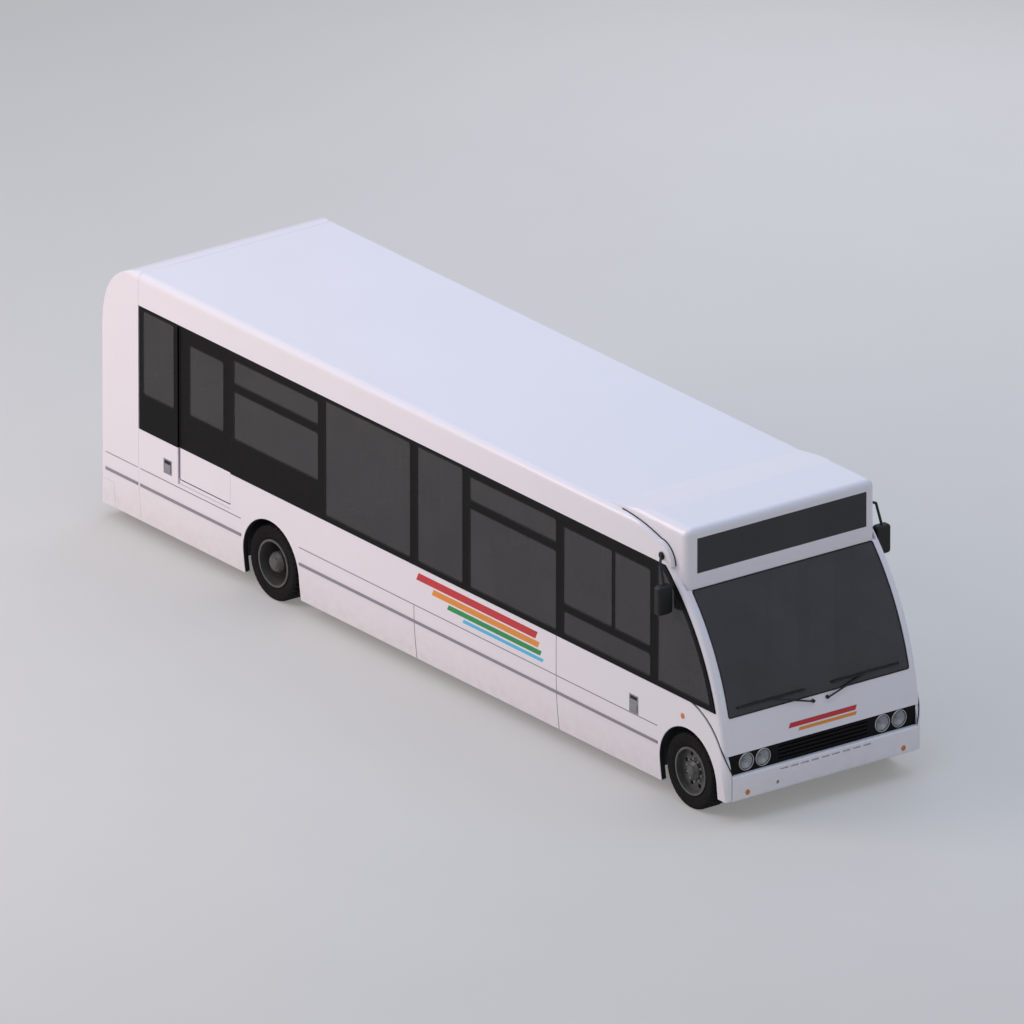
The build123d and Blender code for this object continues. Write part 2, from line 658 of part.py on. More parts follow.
bumper_x = (FRONT_X - BUMPER_DEPTH, FRONT_X)
bumper = block(bumper_x, (-BUMPER_Y, BUMPER_Y), (BUMPER_BOTTOM_Z, BUMPER_TOP_Z)) & outer
bumper_edges = bumper.edges().filter_by(Axis.Y).group_by(Axis.X)[-1].sort_by(Axis.Z)
bumper = fillet(bumper_edges[-1], BUMPER_TOP_R)
bumper_edges = bumper.edges().filter_by(Axis.Y).group_by(Axis.X)[-1].sort_by(Axis.Z)
bumper = fillet(bumper_edges[0], BUMPER_FOOT_R)
BUMPER_SLOTS = 9
SLOT_PITCH = 130.0
SLOT_SIZE = (96.0, 16.0)
SLOT_Z = 480.0
SLOT_DEPTH = 25.0
slot_heights = (SLOT_Z - SLOT_SIZE[1] / 2, SLOT_Z + SLOT_SIZE[1] / 2)
for index in range(BUMPER_SLOTS):
    slot_y = (index - (BUMPER_SLOTS - 1) / 2) * SLOT_PITCH
    slot_span = (slot_y - SLOT_SIZE[0] / 2, slot_y + SLOT_SIZE[0] / 2)
    bumper -= block((FRONT_X - SLOT_DEPTH, FRONT_X), slot_span, slot_heights)
markers = []
for side_sign in (-1, 1):
    marker_y, marker_z, marker_r = FRONT_MARKER
    back = (FRONT_X - MARKER_DEPTH, side_sign * marker_y, marker_z)
    bumper -= rod(back, (FRONT_X + 1, side_sign * marker_y, marker_z), marker_r)
    markers.append(rod(back, (FRONT_X, side_sign * marker_y, marker_z), marker_r - LAMP_FIT))
    markers.append(repeater(side_sign))
tow_y, tow_z, tow_r, tow_depth = TOW_SOCKET
bumper -= rod((FRONT_X - tow_depth, tow_y, tow_z), (FRONT_X + 1, tow_y, tow_z), tow_r)
store("front_bumper", bumper)

# Rear shell with its window, engine opening and lamps
rear = shell & block((REAR_X - REACH, rear_seam_x), (-SIDE_Y - REACH, SIDE_Y + REACH), (0, ROOF_Z + REACH))
REAR_BUMPER_TOP_Z = 440.0
REAR_BUMPER_REACH = 260.0
bumper_zone = block((REAR_X, REAR_X + REAR_BUMPER_REACH), (-SIDE_Y, SIDE_Y), (0, REAR_BUMPER_TOP_Z))
rear_bumper = rear & bumper_zone
rear -= block((REAR_X, REAR_X + REAR_BUMPER_REACH + SEAM), (-SIDE_Y, SIDE_Y), (0, REAR_BUMPER_TOP_Z + SEAM))
rear_wall = (REAR_X - 1, REAR_X + WALL + 1)
pane_room = (REAR_X - 1, REAR_X + REAR_PANE_REACH)
pane = block(pane_room, (-REAR_PANE_Y, REAR_PANE_Y), REAR_PANE_Z)
rear -= fillet(pane.edges().filter_by(Axis.X), PANE_R)
rear -= block(rear_wall, (-COVER_Y, COVER_Y), COVER_Z)
rear_glass = block(pane_room, (-REAR_PANE_Y + GLASS_FIT, REAR_PANE_Y - GLASS_FIT),
                   (REAR_PANE_Z[0] + GLASS_FIT, REAR_PANE_Z[1] - GLASS_FIT))
rear_glass = fillet(rear_glass.edges().filter_by(Axis.X), PANE_R - GLASS_FIT)
rear_glass = (rear_glass & rear_skin(GLASS_INSET)) - rear_skin(GLASS_INSET + GLASS_T)
window_glass.append(rear_glass)
store("window_glass", *window_glass)

# Round rear lamps: height and whether amber
REAR_LAMPS = ((620.0, False), (760.0, True), (900.0, False))
tail_lamps = []
for side_sign in (-1, 1):
    for lamp_z, amber in REAR_LAMPS:
        back = (REAR_X + TAIL_LAMP_DEPTH, side_sign * TAIL_LAMP_Y, lamp_z)
        face = (REAR_X, side_sign * TAIL_LAMP_Y, lamp_z)
        rear -= rod(back, face, TAIL_LAMP_R)
        lens = rod(back, face, TAIL_LAMP_R - LAMP_FIT)
        if amber:
            markers.append(lens)
        else:
            tail_lamps.append(lens)
store("rear_bumper", rear_bumper)
store("tail_lamps", *tail_lamps)
store("indicator_lamps", *markers)

# Engine cover: a lid with louvres, hinged along its top edge
cover_z = (COVER_Z[0] + COVER_GAP, COVER_Z[1] - COVER_TOP_GAP)
cover = block((REAR_X, REAR_X + COVER_T), (-COVER_Y + COVER_GAP, COVER_Y - COVER_GAP), cover_z)
LOUVRES = 6
LOUVRE_PITCH = 60.0
LOUVRE_HEIGHT = 28.0
LOUVRE_DEPTH = 25.0
LOUVRE_START = 120.0
LOUVRE_MARGIN = 150.0
louvre_y = (-COVER_Y + LOUVRE_MARGIN, COVER_Y - LOUVRE_MARGIN)
for index in range(LOUVRES):
    louvre_z = COVER_Z[0] + LOUVRE_START + index * LOUVRE_PITCH
    cover -= block((REAR_X - 1, REAR_X + LOUVRE_DEPTH), louvre_y, (louvre_z, louvre_z + LOUVRE_HEIGHT))
pin_x = REAR_X + COVER_PIN_INSET
pin_z = cover_z[1] - COVER_PIN_INSET
for side_sign in (-1, 1):
    pin_end = side_sign * (COVER_Y + COVER_PIN_REACH)
    pin_root = side_sign * (COVER_Y - COVER_PIN_ROOT)
    cover += rod((pin_x, pin_root, pin_z), (pin_x, pin_end, pin_z), COVER_PIN_R)
    bore_end = side_sign * (COVER_Y + COVER_PIN_REACH + 2)
    rear -= rod((pin_x, side_sign * (COVER_Y - 1), pin_z), (pin_x, bore_end, pin_z), COVER_PIN_R + RUN_FIT)
store("engine_cover", cover)
store("rear_shell", rear)

# Emergency door: white panel below, dark window frame above, glass in the frame
HINGE_X = EXIT_FRONT_X - 26.0
HINGE_Y = -SIDE_Y + EXIT_RECESS + 12.0
HINGE_R = 8.0
HINGE_REACH = 12.0
HINGE_ROOT = 40.0
exit_x = (EXIT_REAR_X + EXIT_GAP, EXIT_FRONT_X - 12.0)
exit_y = (-SIDE_Y + EXIT_RECESS, -INNER_Y)
exit_panel = block(exit_x, exit_y, (EXIT_Z[0] + EXIT_GAP, EXIT_SPLIT_Z))
exit_frame = block(exit_x, exit_y, (EXIT_SPLIT_Z, EXIT_Z[1] - EXIT_GAP))
exit_pane_x = (EXIT_REAR_X + EXIT_PANE_MARGIN[0], EXIT_FRONT_X - EXIT_PANE_MARGIN[1])
exit_frame -= rounded_pane(exit_pane_x, right_half, EXIT_PANE_Z, PANE_R)
lower_pin_z = (EXIT_Z[0] - HINGE_REACH, EXIT_Z[0] + HINGE_ROOT)
upper_pin_z = (EXIT_Z[1] - HINGE_ROOT, EXIT_Z[1] + HINGE_REACH)
lower_pin = rod((HINGE_X, HINGE_Y, lower_pin_z[0]), (HINGE_X, HINGE_Y, lower_pin_z[1]), HINGE_R)
upper_pin = rod((HINGE_X, HINGE_Y, upper_pin_z[0]), (HINGE_X, HINGE_Y, upper_pin_z[1]), HINGE_R)
store("exit_panel", exit_panel + lower_pin)
store("exit_frame", exit_frame + upper_pin)
glass_y = (exit_y[0] + GLASS_INSET, exit_y[0] + GLASS_INSET + GLASS_T)
glass_x = (exit_pane_x[0] + GLASS_FIT, exit_pane_x[1] - GLASS_FIT)
glass_z = (EXIT_PANE_Z[0] + GLASS_FIT, EXIT_PANE_Z[1] - GLASS_FIT)
store("exit_glass", rounded_pane(glass_x, glass_y, glass_z, PANE_R - GLASS_FIT))

# Entrance door: each leaf hangs at its middle on an upper and a lower arm from the doorway's post
LEAF_HALF = (DOORWAY_X[1] - DOORWAY_X[0] - 2 * POST_INSET - LEAF_GAP) / 4
LEAF_Z = (DOORWAY_Z[0] + 2 * ARM_FIT + ARM_T, DOORWAY_Z[1] - 2 * ARM_FIT - ARM_T)
ARM_HALF = 18.0
PIN_DEPTH = 20.0
LEAF_FRAME = 70.0
LEAF_SILL = 110.0


def door_arms(post_x, leaf_x):
    """Upper and lower arm with their pins into the body and into the leaf."""
    arms = []
    for body_z, outward in ((DOORWAY_Z[0], 1), (DOORWAY_Z[1], -1)):
        near = body_z + outward * ARM_FIT
        far = near + outward * ARM_T
        low, high = min(near, far), max(near, far)
        arm_span = (min(post_x, leaf_x), max(post_x, leaf_x))
        arm = block(arm_span, (LEAF_Y - ARM_HALF, LEAF_Y + ARM_HALF), (low, high))
        for end_x in (post_x, leaf_x):
            arm += rod((end_x, LEAF_Y, low), (end_x, LEAF_Y, high), ARM_HALF)
        arm += rod((post_x, LEAF_Y, near), (post_x, LEAF_Y, body_z - outward * PIN_DEPTH), PIN_R)
        arm += rod((leaf_x, LEAF_Y, far), (leaf_x, LEAF_Y, far + outward * (ARM_FIT + PIN_DEPTH)), PIN_R)
        arms.append(arm)
    return arms


def door_leaf(x, leaf_x):
    """A leaf's frame with its tall window cut and pin holes at top and bottom."""
    leaf = block(x, (LEAF_Y - LEAF_T / 2, LEAF_Y + LEAF_T / 2), LEAF_Z)
    leaf -= rounded_pane(*leaf_window(x, 0), PANE_R)
    pin_room = PIN_DEPTH + PIN_END_ROOM
    for z0, z1 in ((LEAF_Z[0], LEAF_Z[0] + pin_room), (LEAF_Z[1] - pin_room, LEAF_Z[1])):
        leaf -= rod((leaf_x, LEAF_Y, z0), (leaf_x, LEAF_Y, z1), PIN_R + RUN_FIT)
    return leaf


def leaf_window(x, fit):
    """The window of a leaf: extents along, across and up, drawn in by a fit."""
    half = LEAF_T / 2 if fit == 0 else GLASS_T / 2
    return ((x[0] + LEAF_FRAME + fit, x[1] - LEAF_FRAME - fit), (LEAF_Y - half, LEAF_Y + half),
            (LEAF_Z[0] + LEAF_SILL + fit, LEAF_Z[1] - LEAF_FRAME - fit))


door_posts = {"rear": (DOORWAY_X[0] + POST_INSET, 1), "front": (DOORWAY_X[1] - POST_INSET, -1)}
for place_name, (post_x, inward) in door_posts.items():
    leaf_x = post_x + inward * LEAF_HALF
    ends = (post_x - inward * LEAF_EDGE, post_x + inward * 2 * LEAF_HALF)
    span = (min(ends), max(ends))
    store("door_arms_" + place_name, *door_arms(post_x, leaf_x))
    store("door_leaf_" + place_name, door_leaf(span, leaf_x))
    store("door_glass_" + place_name, rounded_pane(*leaf_window(span, GLASS_FIT), PANE_R - GLASS_FIT))


def drill(name, start, end, radius):
    """Bore a round hole in every solid of a stored piece that it meets."""
    tool = rod(start, end, radius)
    nodes[name] = [solid for whole in nodes[name] for solid in (whole - tool).solids()]


for post_x, inward in door_posts.values():
    sill_z, head_z = DOORWAY_Z
    sill_bore = ((post_x, LEAF_Y, sill_z - PIN_DEPTH - PIN_END_ROOM), (post_x, LEAF_Y, sill_z + 1))
    head_bore = ((post_x, LEAF_Y, head_z - 1), (post_x, LEAF_Y, head_z + PIN_DEPTH + PIN_END_ROOM))
    drill("lower_panels_left", *sill_bore, PIN_R + RUN_FIT)
    drill("window_band_left", *head_bore, PIN_R + RUN_FIT)
lower_bore = ((HINGE_X, HINGE_Y, EXIT_Z[0] - HINGE_REACH - PIN_END_ROOM), (HINGE_X, HINGE_Y, EXIT_Z[0] + 1))
upper_bore = ((HINGE_X, HINGE_Y, EXIT_Z[1] - 1), (HINGE_X, HINGE_Y, EXIT_Z[1] + HINGE_REACH + PIN_END_ROOM))
drill("lower_panels_right", *lower_bore, HINGE_R + RUN_FIT)
drill("window_band_right", *upper_bore, HINGE_R + RUN_FIT)

# Floor: low floor, rear platform, engine deck, driver's platform and wheel boxes
BOX_BOTTOM_Z = 320.0
AXLE_GATE = (150.0, 500.0)
box_rear_x = FRONT_AXLE_X - BOX_HALF
box_front_x = FRONT_AXLE_X + BOX_HALF
full_y = (-SIDE_Y, SIDE_Y)


def wheel_box(axle_x):
    """A box over the left wheel, open below and to the outside, with a gate for the axle."""
    walls = block((axle_x - BOX_HALF, axle_x + BOX_HALF), (BOX_INNER_Y, SIDE_Y), (BOX_BOTTOM_Z, BOX_TOP_Z))
    walls -= wheel_room(axle_x)
    return walls - block((axle_x - AXLE_GATE[0], axle_x + AXLE_GATE[0]), (0, SIDE_Y), (0, AXLE_GATE[1]))


def box_outline(axle_x):
    """The outline of a left wheel box as one block."""
    box_x = (axle_x - BOX_HALF, axle_x + BOX_HALF)
    return block(box_x, (BOX_INNER_Y, SIDE_Y + REACH), (BOX_BOTTOM_Z, BOX_TOP_Z))


def wheel_room(axle_x):
    """The room inside a left wheel box."""
    room_x = (axle_x - BOX_HALF + BOX_T, axle_x + BOX_HALF - BOX_T)
    return block(room_x, (BOX_INNER_Y + BOX_T, SIDE_Y + REACH), (0, BOX_TOP_Z - BOX_T))


def plate(x, y, top):
    """A floor plate with its top at the given height."""
    return block(x, y, (top - FLOOR_T, top))


cell_wall_room = block((WING_TOP_X, FRONT_X), (cell_side, SIDE_Y), (0, ROOF_Z))
cell_wall_room += other_side(cell_wall_room)

# Wheel boxes
wheel_boxes = []
box_rooms = []
for axle_x in (FRONT_AXLE_X, REAR_AXLE_X):
    left_box = (wheel_box(axle_x) & inner) - cell_wall_room
    left_room = box_outline(axle_x)
    wheel_boxes += [left_box, other_side(left_box)]
    box_rooms += [left_room, other_side(left_room)]
store("wheel_boxes", *wheel_boxes)

# Low floor with the raised floor of the cab
floor = plate((STEP_X, box_rear_x), full_y, LOW_FLOOR_Z)
riser_x = (box_rear_x, box_rear_x + FLOOR_T)
floor += block(riser_x, (-BOX_INNER_Y, BOX_INNER_Y), (LOW_FLOOR_Z - FLOOR_T, CAB_FLOOR_Z))
floor += plate((box_rear_x, box_front_x), (-BOX_INNER_Y, BOX_INNER_Y), CAB_FLOOR_Z)
cab_box = block((CAB_REAR_X, box_rear_x), (-SIDE_Y, -CAB_INNER_Y), (LOW_FLOOR_Z - FLOOR_T, CAB_FLOOR_Z))
cab_box -= block((CAB_REAR_X + FLOOR_T, box_rear_x + 1), (-SIDE_Y, -CAB_INNER_Y - FLOOR_T),
                 (LOW_FLOOR_Z, CAB_FLOOR_Z - FLOOR_T))
floor += cab_box
floor = (floor & inner) - cell_wall_room
store("floor", floor)

# Raised floor over the rear axle and the engine deck
rear_floor = block((STEP_X - FLOOR_T, STEP_X), full_y, (LOW_FLOOR_Z - FLOOR_T, REAR_FLOOR_Z))
rear_floor += plate((DECK_X - FLOOR_T, STEP_X), full_y, REAR_FLOOR_Z)
rear_floor += block((DECK_X - FLOOR_T, DECK_X), full_y, (REAR_FLOOR_Z - FLOOR_T, ENGINE_DECK_Z))
rear_floor += plate((REAR_X, DECK_X), full_y, ENGINE_DECK_Z)
for room in box_rooms:
    rear_floor -= room
store("rear_floor", rear_floor & inner)

# Chassis frame: two cranked rails with cross members
kick_front = (box_rear_x + FLOOR_T + 5, box_rear_x + FLOOR_T + 105)
kick_rear = (STEP_X - FLOOR_T - 100, STEP_X - FLOOR_T - 5)
rail_front_x = FRONT_X - 180.0
rail_rear_x = REAR_X + 150.0
rail_steps = [
    (kick_rear[0], RAIL_LOW_Z[0]), (kick_front[1], RAIL_LOW_Z[0]), (kick_front[1], RAIL_FRONT_Z[0]),
    (rail_front_x, RAIL_FRONT_Z[0]), (rail_front_x, RAIL_FRONT_Z[1]), (kick_front[0], RAIL_FRONT_Z[1]),
    (kick_front[0], RAIL_LOW_Z[1]), (kick_rear[1], RAIL_LOW_Z[1]), (kick_rear[1], RAIL_REAR_Z[1]),
    (rail_rear_x, RAIL_REAR_Z[1]), (rail_rear_x, RAIL_REAR_Z[0]), (kick_rear[0], RAIL_REAR_Z[0])]
left_rail = side_prism(rail_steps, RAIL_Y)
left_rail += block((rail_front_x, GRILLE_FACE_X - GRILLE_DEPTH), RAIL_Y, RAIL_FRONT_Z)
left_rail += block((REAR_X + WALL, rail_rear_x), RAIL_Y, (SKIRT_Z + 150, RAIL_REAR_Z[1]))
chassis = left_rail + other_side(left_rail)
OUTRIGGER_Y = 1130.0
OUTRIGGERS = 5
OUTRIGGER_HALF = 30.0
OUTRIGGER_ROOM = 300.0
outrigger_pitch = (kick_front[0] - kick_rear[1] - 2 * OUTRIGGER_ROOM) / (OUTRIGGERS - 1)
for index in range(OUTRIGGERS):
    bearer_x = kick_rear[1] + OUTRIGGER_ROOM + index * outrigger_pitch
    bearer_span = (bearer_x - OUTRIGGER_HALF, bearer_x + OUTRIGGER_HALF)
    chassis += block(bearer_span, (-OUTRIGGER_Y, OUTRIGGER_Y), RAIL_LOW_Z)
CROSS_HALF = 40.0
cross_members = (
    (rail_front_x - CROSS_HALF, RAIL_FRONT_Z), (REAR_AXLE_X + 600.0, RAIL_REAR_Z),
    (REAR_AXLE_X - 700.0, RAIL_REAR_Z))
for bearer_x, levels in cross_members:
    chassis += block((bearer_x - CROSS_HALF, bearer_x + CROSS_HALF), (-RAIL_Y[1], RAIL_Y[1]), levels)
store("chassis_frame", chassis)

# Engine, one plain block between the rails under the deck
ENGINE_REAR = 300.0
ENGINE_BOTTOM_Z = 330.0
ENGINE_ROOM = 20.0
engine_x = (REAR_X + ENGINE_REAR, DECK_X - FLOOR_T - ENGINE_ROOM)
engine_z = (ENGINE_BOTTOM_Z, ENGINE_DECK_Z - FLOOR_T - ENGINE_ROOM)
engine = block(engine_x, (-RAIL_Y[0], RAIL_Y[0]), engine_z)
store("engine_block", engine)

# Front axle beam with kingpin bosses
BEAM_HALF = 45.0
BEAM_LOW_Z = (260.0, 340.0)
BEAM_END_Z = (360.0, 440.0)
BOSS_R = 48.0
BOSS_Z = (346.0, 454.0)
beam_end = KINGPIN_Y - 15
beam = end_prism([
    (-beam_end, BEAM_END_Z[0]), (-830, BEAM_END_Z[0]), (-640, BEAM_LOW_Z[0]), (640, BEAM_LOW_Z[0]),
    (830, BEAM_END_Z[0]), (beam_end, BEAM_END_Z[0]), (beam_end, BEAM_END_Z[1]), (800, BEAM_END_Z[1]),
    (610, BEAM_LOW_Z[1]), (-610, BEAM_LOW_Z[1]), (-800, BEAM_END_Z[1]), (-beam_end, BEAM_END_Z[1])],
    (FRONT_AXLE_X - BEAM_HALF, FRONT_AXLE_X + BEAM_HALF))
for side_sign in (-1, 1):
    pin_y = side_sign * KINGPIN_Y
    beam += rod((FRONT_AXLE_X, pin_y, BOSS_Z[0]), (FRONT_AXLE_X, pin_y, BOSS_Z[1]), BOSS_R)
    bore = ((FRONT_AXLE_X, pin_y, BOSS_Z[0] - 1), (FRONT_AXLE_X, pin_y, BOSS_Z[1] + 1))
    beam -= rod(*bore, KINGPIN_R + RUN_FIT)
store("front_axle", beam)

# Steering knuckles: yoke, kingpin, stub axle and steering arm
YOKE_T = 25.0
YOKE_GAP = 1.0
YOKE_HALF = 50.0
WEB_Y = (KINGPIN_Y + 55.0, KINGPIN_Y + 90.0)
STUB_END_Y = TYRE_OUTER_Y - 28.0
ARM_PLATE_T = 20.0
EYE_R = 26.0
EYE_T = 30.0
BALL_R = 12.0
yoke_low = (BOSS_Z[0] - YOKE_GAP - YOKE_T, BOSS_Z[0] - YOKE_GAP)
yoke_high = (BOSS_Z[1] + YOKE_GAP, BOSS_Z[1] + YOKE_GAP + YOKE_T)
arm_z = (yoke_low[0] - ARM_PLATE_T, yoke_low[0])
eye_z = (arm_z[0] - 2 - EYE_T, arm_z[0] - 2)
arm_x = FRONT_AXLE_X + STEER_ARM
arm_y = KINGPIN_Y
yoke_x = (FRONT_AXLE_X - YOKE_HALF, FRONT_AXLE_X + YOKE_HALF)
knuckle = block(yoke_x, (KINGPIN_Y - YOKE_HALF, WEB_Y[1]), yoke_low)
knuckle += block(yoke_x, (KINGPIN_Y - YOKE_HALF, WEB_Y[1]), yoke_high)
knuckle += block(yoke_x, WEB_Y, (yoke_low[0], yoke_high[1]))
knuckle += rod((FRONT_AXLE_X, KINGPIN_Y, yoke_low[0]), (FRONT_AXLE_X, KINGPIN_Y, yoke_high[1]), KINGPIN_R)
knuckle += rod((FRONT_AXLE_X, WEB_Y[0], TYRE_R), (FRONT_AXLE_X, STUB_END_Y, TYRE_R), STUB_R)
knuckle += plan_prism([
    (FRONT_AXLE_X - YOKE_HALF, KINGPIN_Y - YOKE_HALF), (FRONT_AXLE_X + YOKE_HALF, KINGPIN_Y - YOKE_HALF),
    (FRONT_AXLE_X + YOKE_HALF, KINGPIN_Y + YOKE_HALF), (FRONT_AXLE_X - YOKE_HALF, KINGPIN_Y + YOKE_HALF),
    (arm_x, arm_y + EYE_R), (arm_x, arm_y - EYE_R)], arm_z)
knuckle += rod((arm_x, arm_y, arm_z[0]), (arm_x, arm_y, arm_z[1]), EYE_R)
knuckle += rod((arm_x, arm_y, eye_z[0] + 2), (arm_x, arm_y, arm_z[0]), BALL_R)
store("knuckle_left", knuckle)
store("knuckle_right", other_side(knuckle))

# Track rod between the steering arms
ROD_OPEN_FIT = 0.3
rod_z = (eye_z[0] + eye_z[1]) / 2
track_rod = rod((arm_x, -arm_y, rod_z), (arm_x, arm_y, rod_z), ROD_R)
for eye_y in (arm_y, -arm_y):
    track_rod += rod((arm_x, eye_y, eye_z[0]), (arm_x, eye_y, eye_z[1]), EYE_R)
for eye_y, fit in ((arm_y, RUN_FIT), (-arm_y, ROD_OPEN_FIT)):
    track_rod -= rod((arm_x, eye_y, eye_z[0] - 1), (arm_x, eye_y, eye_z[1] + 1), BALL_R + fit)
store("track_rod", track_rod)

# Rear axle with its drive housing and spring beams
AXLE_R = 75.0
AXLE_END_Y = 720.0
HOUSING_R = 170.0
HOUSING_HALF = 130.0
HOUSING_EDGE_R = 50.0
SPRING_BEAM_Z = (300.0, 330.0)
SPRING_X = 430.0
SPRING_R = 85.0
rear_axle = rod((REAR_AXLE_X, -AXLE_END_Y, TYRE_R), (REAR_AXLE_X, AXLE_END_Y, TYRE_R), AXLE_R)
rear_axle += rod((REAR_AXLE_X, -STUB_END_Y, TYRE_R), (REAR_AXLE_X, STUB_END_Y, TYRE_R), SPINDLE_R)
housing = rod((REAR_AXLE_X, -HOUSING_HALF, TYRE_R), (REAR_AXLE_X, HOUSING_HALF, TYRE_R), HOUSING_R)
rear_axle += fillet(housing.edges().filter_by(GeomType.CIRCLE), HOUSING_EDGE_R)
spring_reach = SPRING_X + SPRING_R
spring_beam = block((REAR_AXLE_X - spring_reach, REAR_AXLE_X + spring_reach), RAIL_Y, SPRING_BEAM_Z)
rear_axle += spring_beam
rear_axle += other_side(spring_beam)
store("rear_axle", rear_axle)

spring_y = (RAIL_Y[0] + RAIL_Y[1]) / 2
springs = []
for side_sign in (-1, 1):
    bottom_top = [(FRONT_AXLE_X, BEAM_LOW_Z[1], RAIL_FRONT_Z[0])]
    for offset in (-SPRING_X, SPRING_X):
        bottom_top.append((REAR_AXLE_X + offset, SPRING_BEAM_Z[1], RAIL_REAR_Z[0]))
    for spring_x, z0, z1 in bottom_top:
        y = side_sign * spring_y
        springs.append(rod((spring_x, y, z0), (spring_x, y, z1), SPRING_R))
store("air_springs", *springs)

# Wheels and tyres, drawn on the left side
RIM_FIT = 0.3
BEAD_HALF = TYRE_WIDTH / 2 - 22.0


def tyre(outer_y, axle_x):
    """A tyre with rounded shoulders, its outer face at the given Y."""
    middle = outer_y - TYRE_WIDTH / 2
    half = TYRE_WIDTH / 2
    turn = SHOULDER_R * (1 - sqrt(0.5))
    bead = RIM_R + RIM_FIT
    shoulder = TYRE_R - SHOULDER_R
    wall_r = (bead + shoulder) / 2
    return turned([
        (bead, middle - BEAD_HALF), ((wall_r, middle - half + 4), (shoulder, middle - half)),
        ((TYRE_R - turn, middle - half + turn), (TYRE_R, middle - half + SHOULDER_R)),
        (TYRE_R, middle + half - SHOULDER_R),
        ((TYRE_R - turn, middle + half - turn), (shoulder, middle + half)),
        ((wall_r, middle + half - 4), (bead, middle + BEAD_HALF))], axle_x, TYRE_R)


def hand_holes(wheel, axle_x, y):
    """Cut the ring of hand holes in a wheel's disc."""
    for index in range(HAND_HOLES):
        angle = 2 * pi * (index + 0.5) / HAND_HOLES
        x = axle_x + HAND_HOLE_RING * cos(angle)
        z = TYRE_R + HAND_HOLE_RING * sin(angle)
        wheel -= rod((x, y[0], z), (x, y[1], z), HAND_HOLE_R)
    return wheel


rim_inner = RIM_R - RIM_WALL
rim_outer_y = TYRE_OUTER_Y - 5.0
front_rim_y = TYRE_OUTER_Y - TYRE_WIDTH + 5.0
hub_y = (WEB_Y[1] + 15.0, TYRE_OUTER_Y - 20.0)
front_disc_y = (hub_y[0] + DISC_SET, hub_y[0] + DISC_SET + DISC_T)
front_wheel = turned([
    (STUB_R + RUN_FIT, hub_y[0]), (HUB_R, hub_y[0]), (HUB_R, front_disc_y[0]), (rim_inner, front_disc_y[0]),
    (rim_inner, front_rim_y), (RIM_R, front_rim_y), (RIM_R, rim_outer_y), (rim_inner, rim_outer_y),
    (rim_inner, front_disc_y[1]), (HUB_R, front_disc_y[1]), (HUB_R, hub_y[1] - HUB_SLOPE),
    (HUB_R - HUB_SLOPE, hub_y[1]),
    (STUB_R + RUN_FIT, hub_y[1])], FRONT_AXLE_X, TYRE_R)
front_wheel = hand_holes(front_wheel, FRONT_AXLE_X, (front_disc_y[0] - 1, front_disc_y[1] + 1))
front_tyre = tyre(TYRE_OUTER_Y, FRONT_AXLE_X)

twin_y = TYRE_OUTER_Y - TYRE_WIDTH - TWIN_GAP
rear_rim_y = twin_y - TYRE_WIDTH + 5.0
rear_hub_r = HUB_R + 15.0
rear_hub_y = (AXLE_END_Y + 25.0, TYRE_OUTER_Y - 20.0)
rear_disc_y = (twin_y - 10.0, twin_y - 10.0 + DISC_T)
rear_wheel = turned([
    (SPINDLE_R + RUN_FIT, rear_hub_y[0]), (rear_hub_r, rear_hub_y[0]), (rear_hub_r, rear_disc_y[0]),
    (rim_inner, rear_disc_y[0]), (rim_inner, rear_rim_y), (RIM_R, rear_rim_y), (RIM_R, rim_outer_y),
    (rim_inner, rim_outer_y), (rim_inner, rear_disc_y[1]), (rear_hub_r, rear_disc_y[1]),
    (rear_hub_r, rear_hub_y[1] - REAR_HUB_SLOPE), (rear_hub_r - HUB_SLOPE, rear_hub_y[1]),
    (SPINDLE_R + RUN_FIT, rear_hub_y[1])], REAR_AXLE_X, TYRE_R)
rear_wheel = hand_holes(rear_wheel, REAR_AXLE_X, (rear_disc_y[0] - 1, rear_disc_y[1] + 1))
rear_tyres = [tyre(TYRE_OUTER_Y, REAR_AXLE_X), tyre(twin_y, REAR_AXLE_X)]
store("wheel_front_left", front_wheel)
store("wheel_front_right", other_side(front_wheel))
store("tyre_front_left", front_tyre)
store("tyre_front_right", other_side(front_tyre))
store("wheels_rear_left", rear_wheel)
store("wheels_rear_right", other_side(rear_wheel))
store("tyres_rear_left", *rear_tyres)
store("tyres_rear_right", *[other_side(one) for one in rear_tyres])

# Dashboard, steering wheel and driver's seat
DASH_HEIGHT = 200.0
DASH_ROOM = 10.0
DASH_ROUND = 150.0
DASH_FRONT_HEIGHT = 150.0
DASH_REAR_HEIGHT = 120.0
DASH_MARGIN = 120.0
dash_top_z = BOX_TOP_Z + DASH_HEIGHT
dash_rise = dash_top_z - DRUM_Z
dash_front_x = DRUM_X + sqrt((DRUM_R - CELL_WALL) ** 2 - dash_rise ** 2) - DASH_ROOM
dash_x = (box_rear_x + 300.0, dash_front_x)
dash = side_prism([
    (dash_x[0], BOX_TOP_Z), (dash_x[1], BOX_TOP_Z), (dash_x[1], BOX_TOP_Z + DASH_FRONT_HEIGHT),
    (dash_x[1] - DASH_ROUND, dash_top_z),
    ((dash_x[0] + DASH_ROUND, dash_top_z), (dash_x[0], BOX_TOP_Z + DASH_REAR_HEIGHT))],
    (-CELL_Y + DASH_MARGIN, CELL_Y - DASH_MARGIN))
store("dashboard", dash)

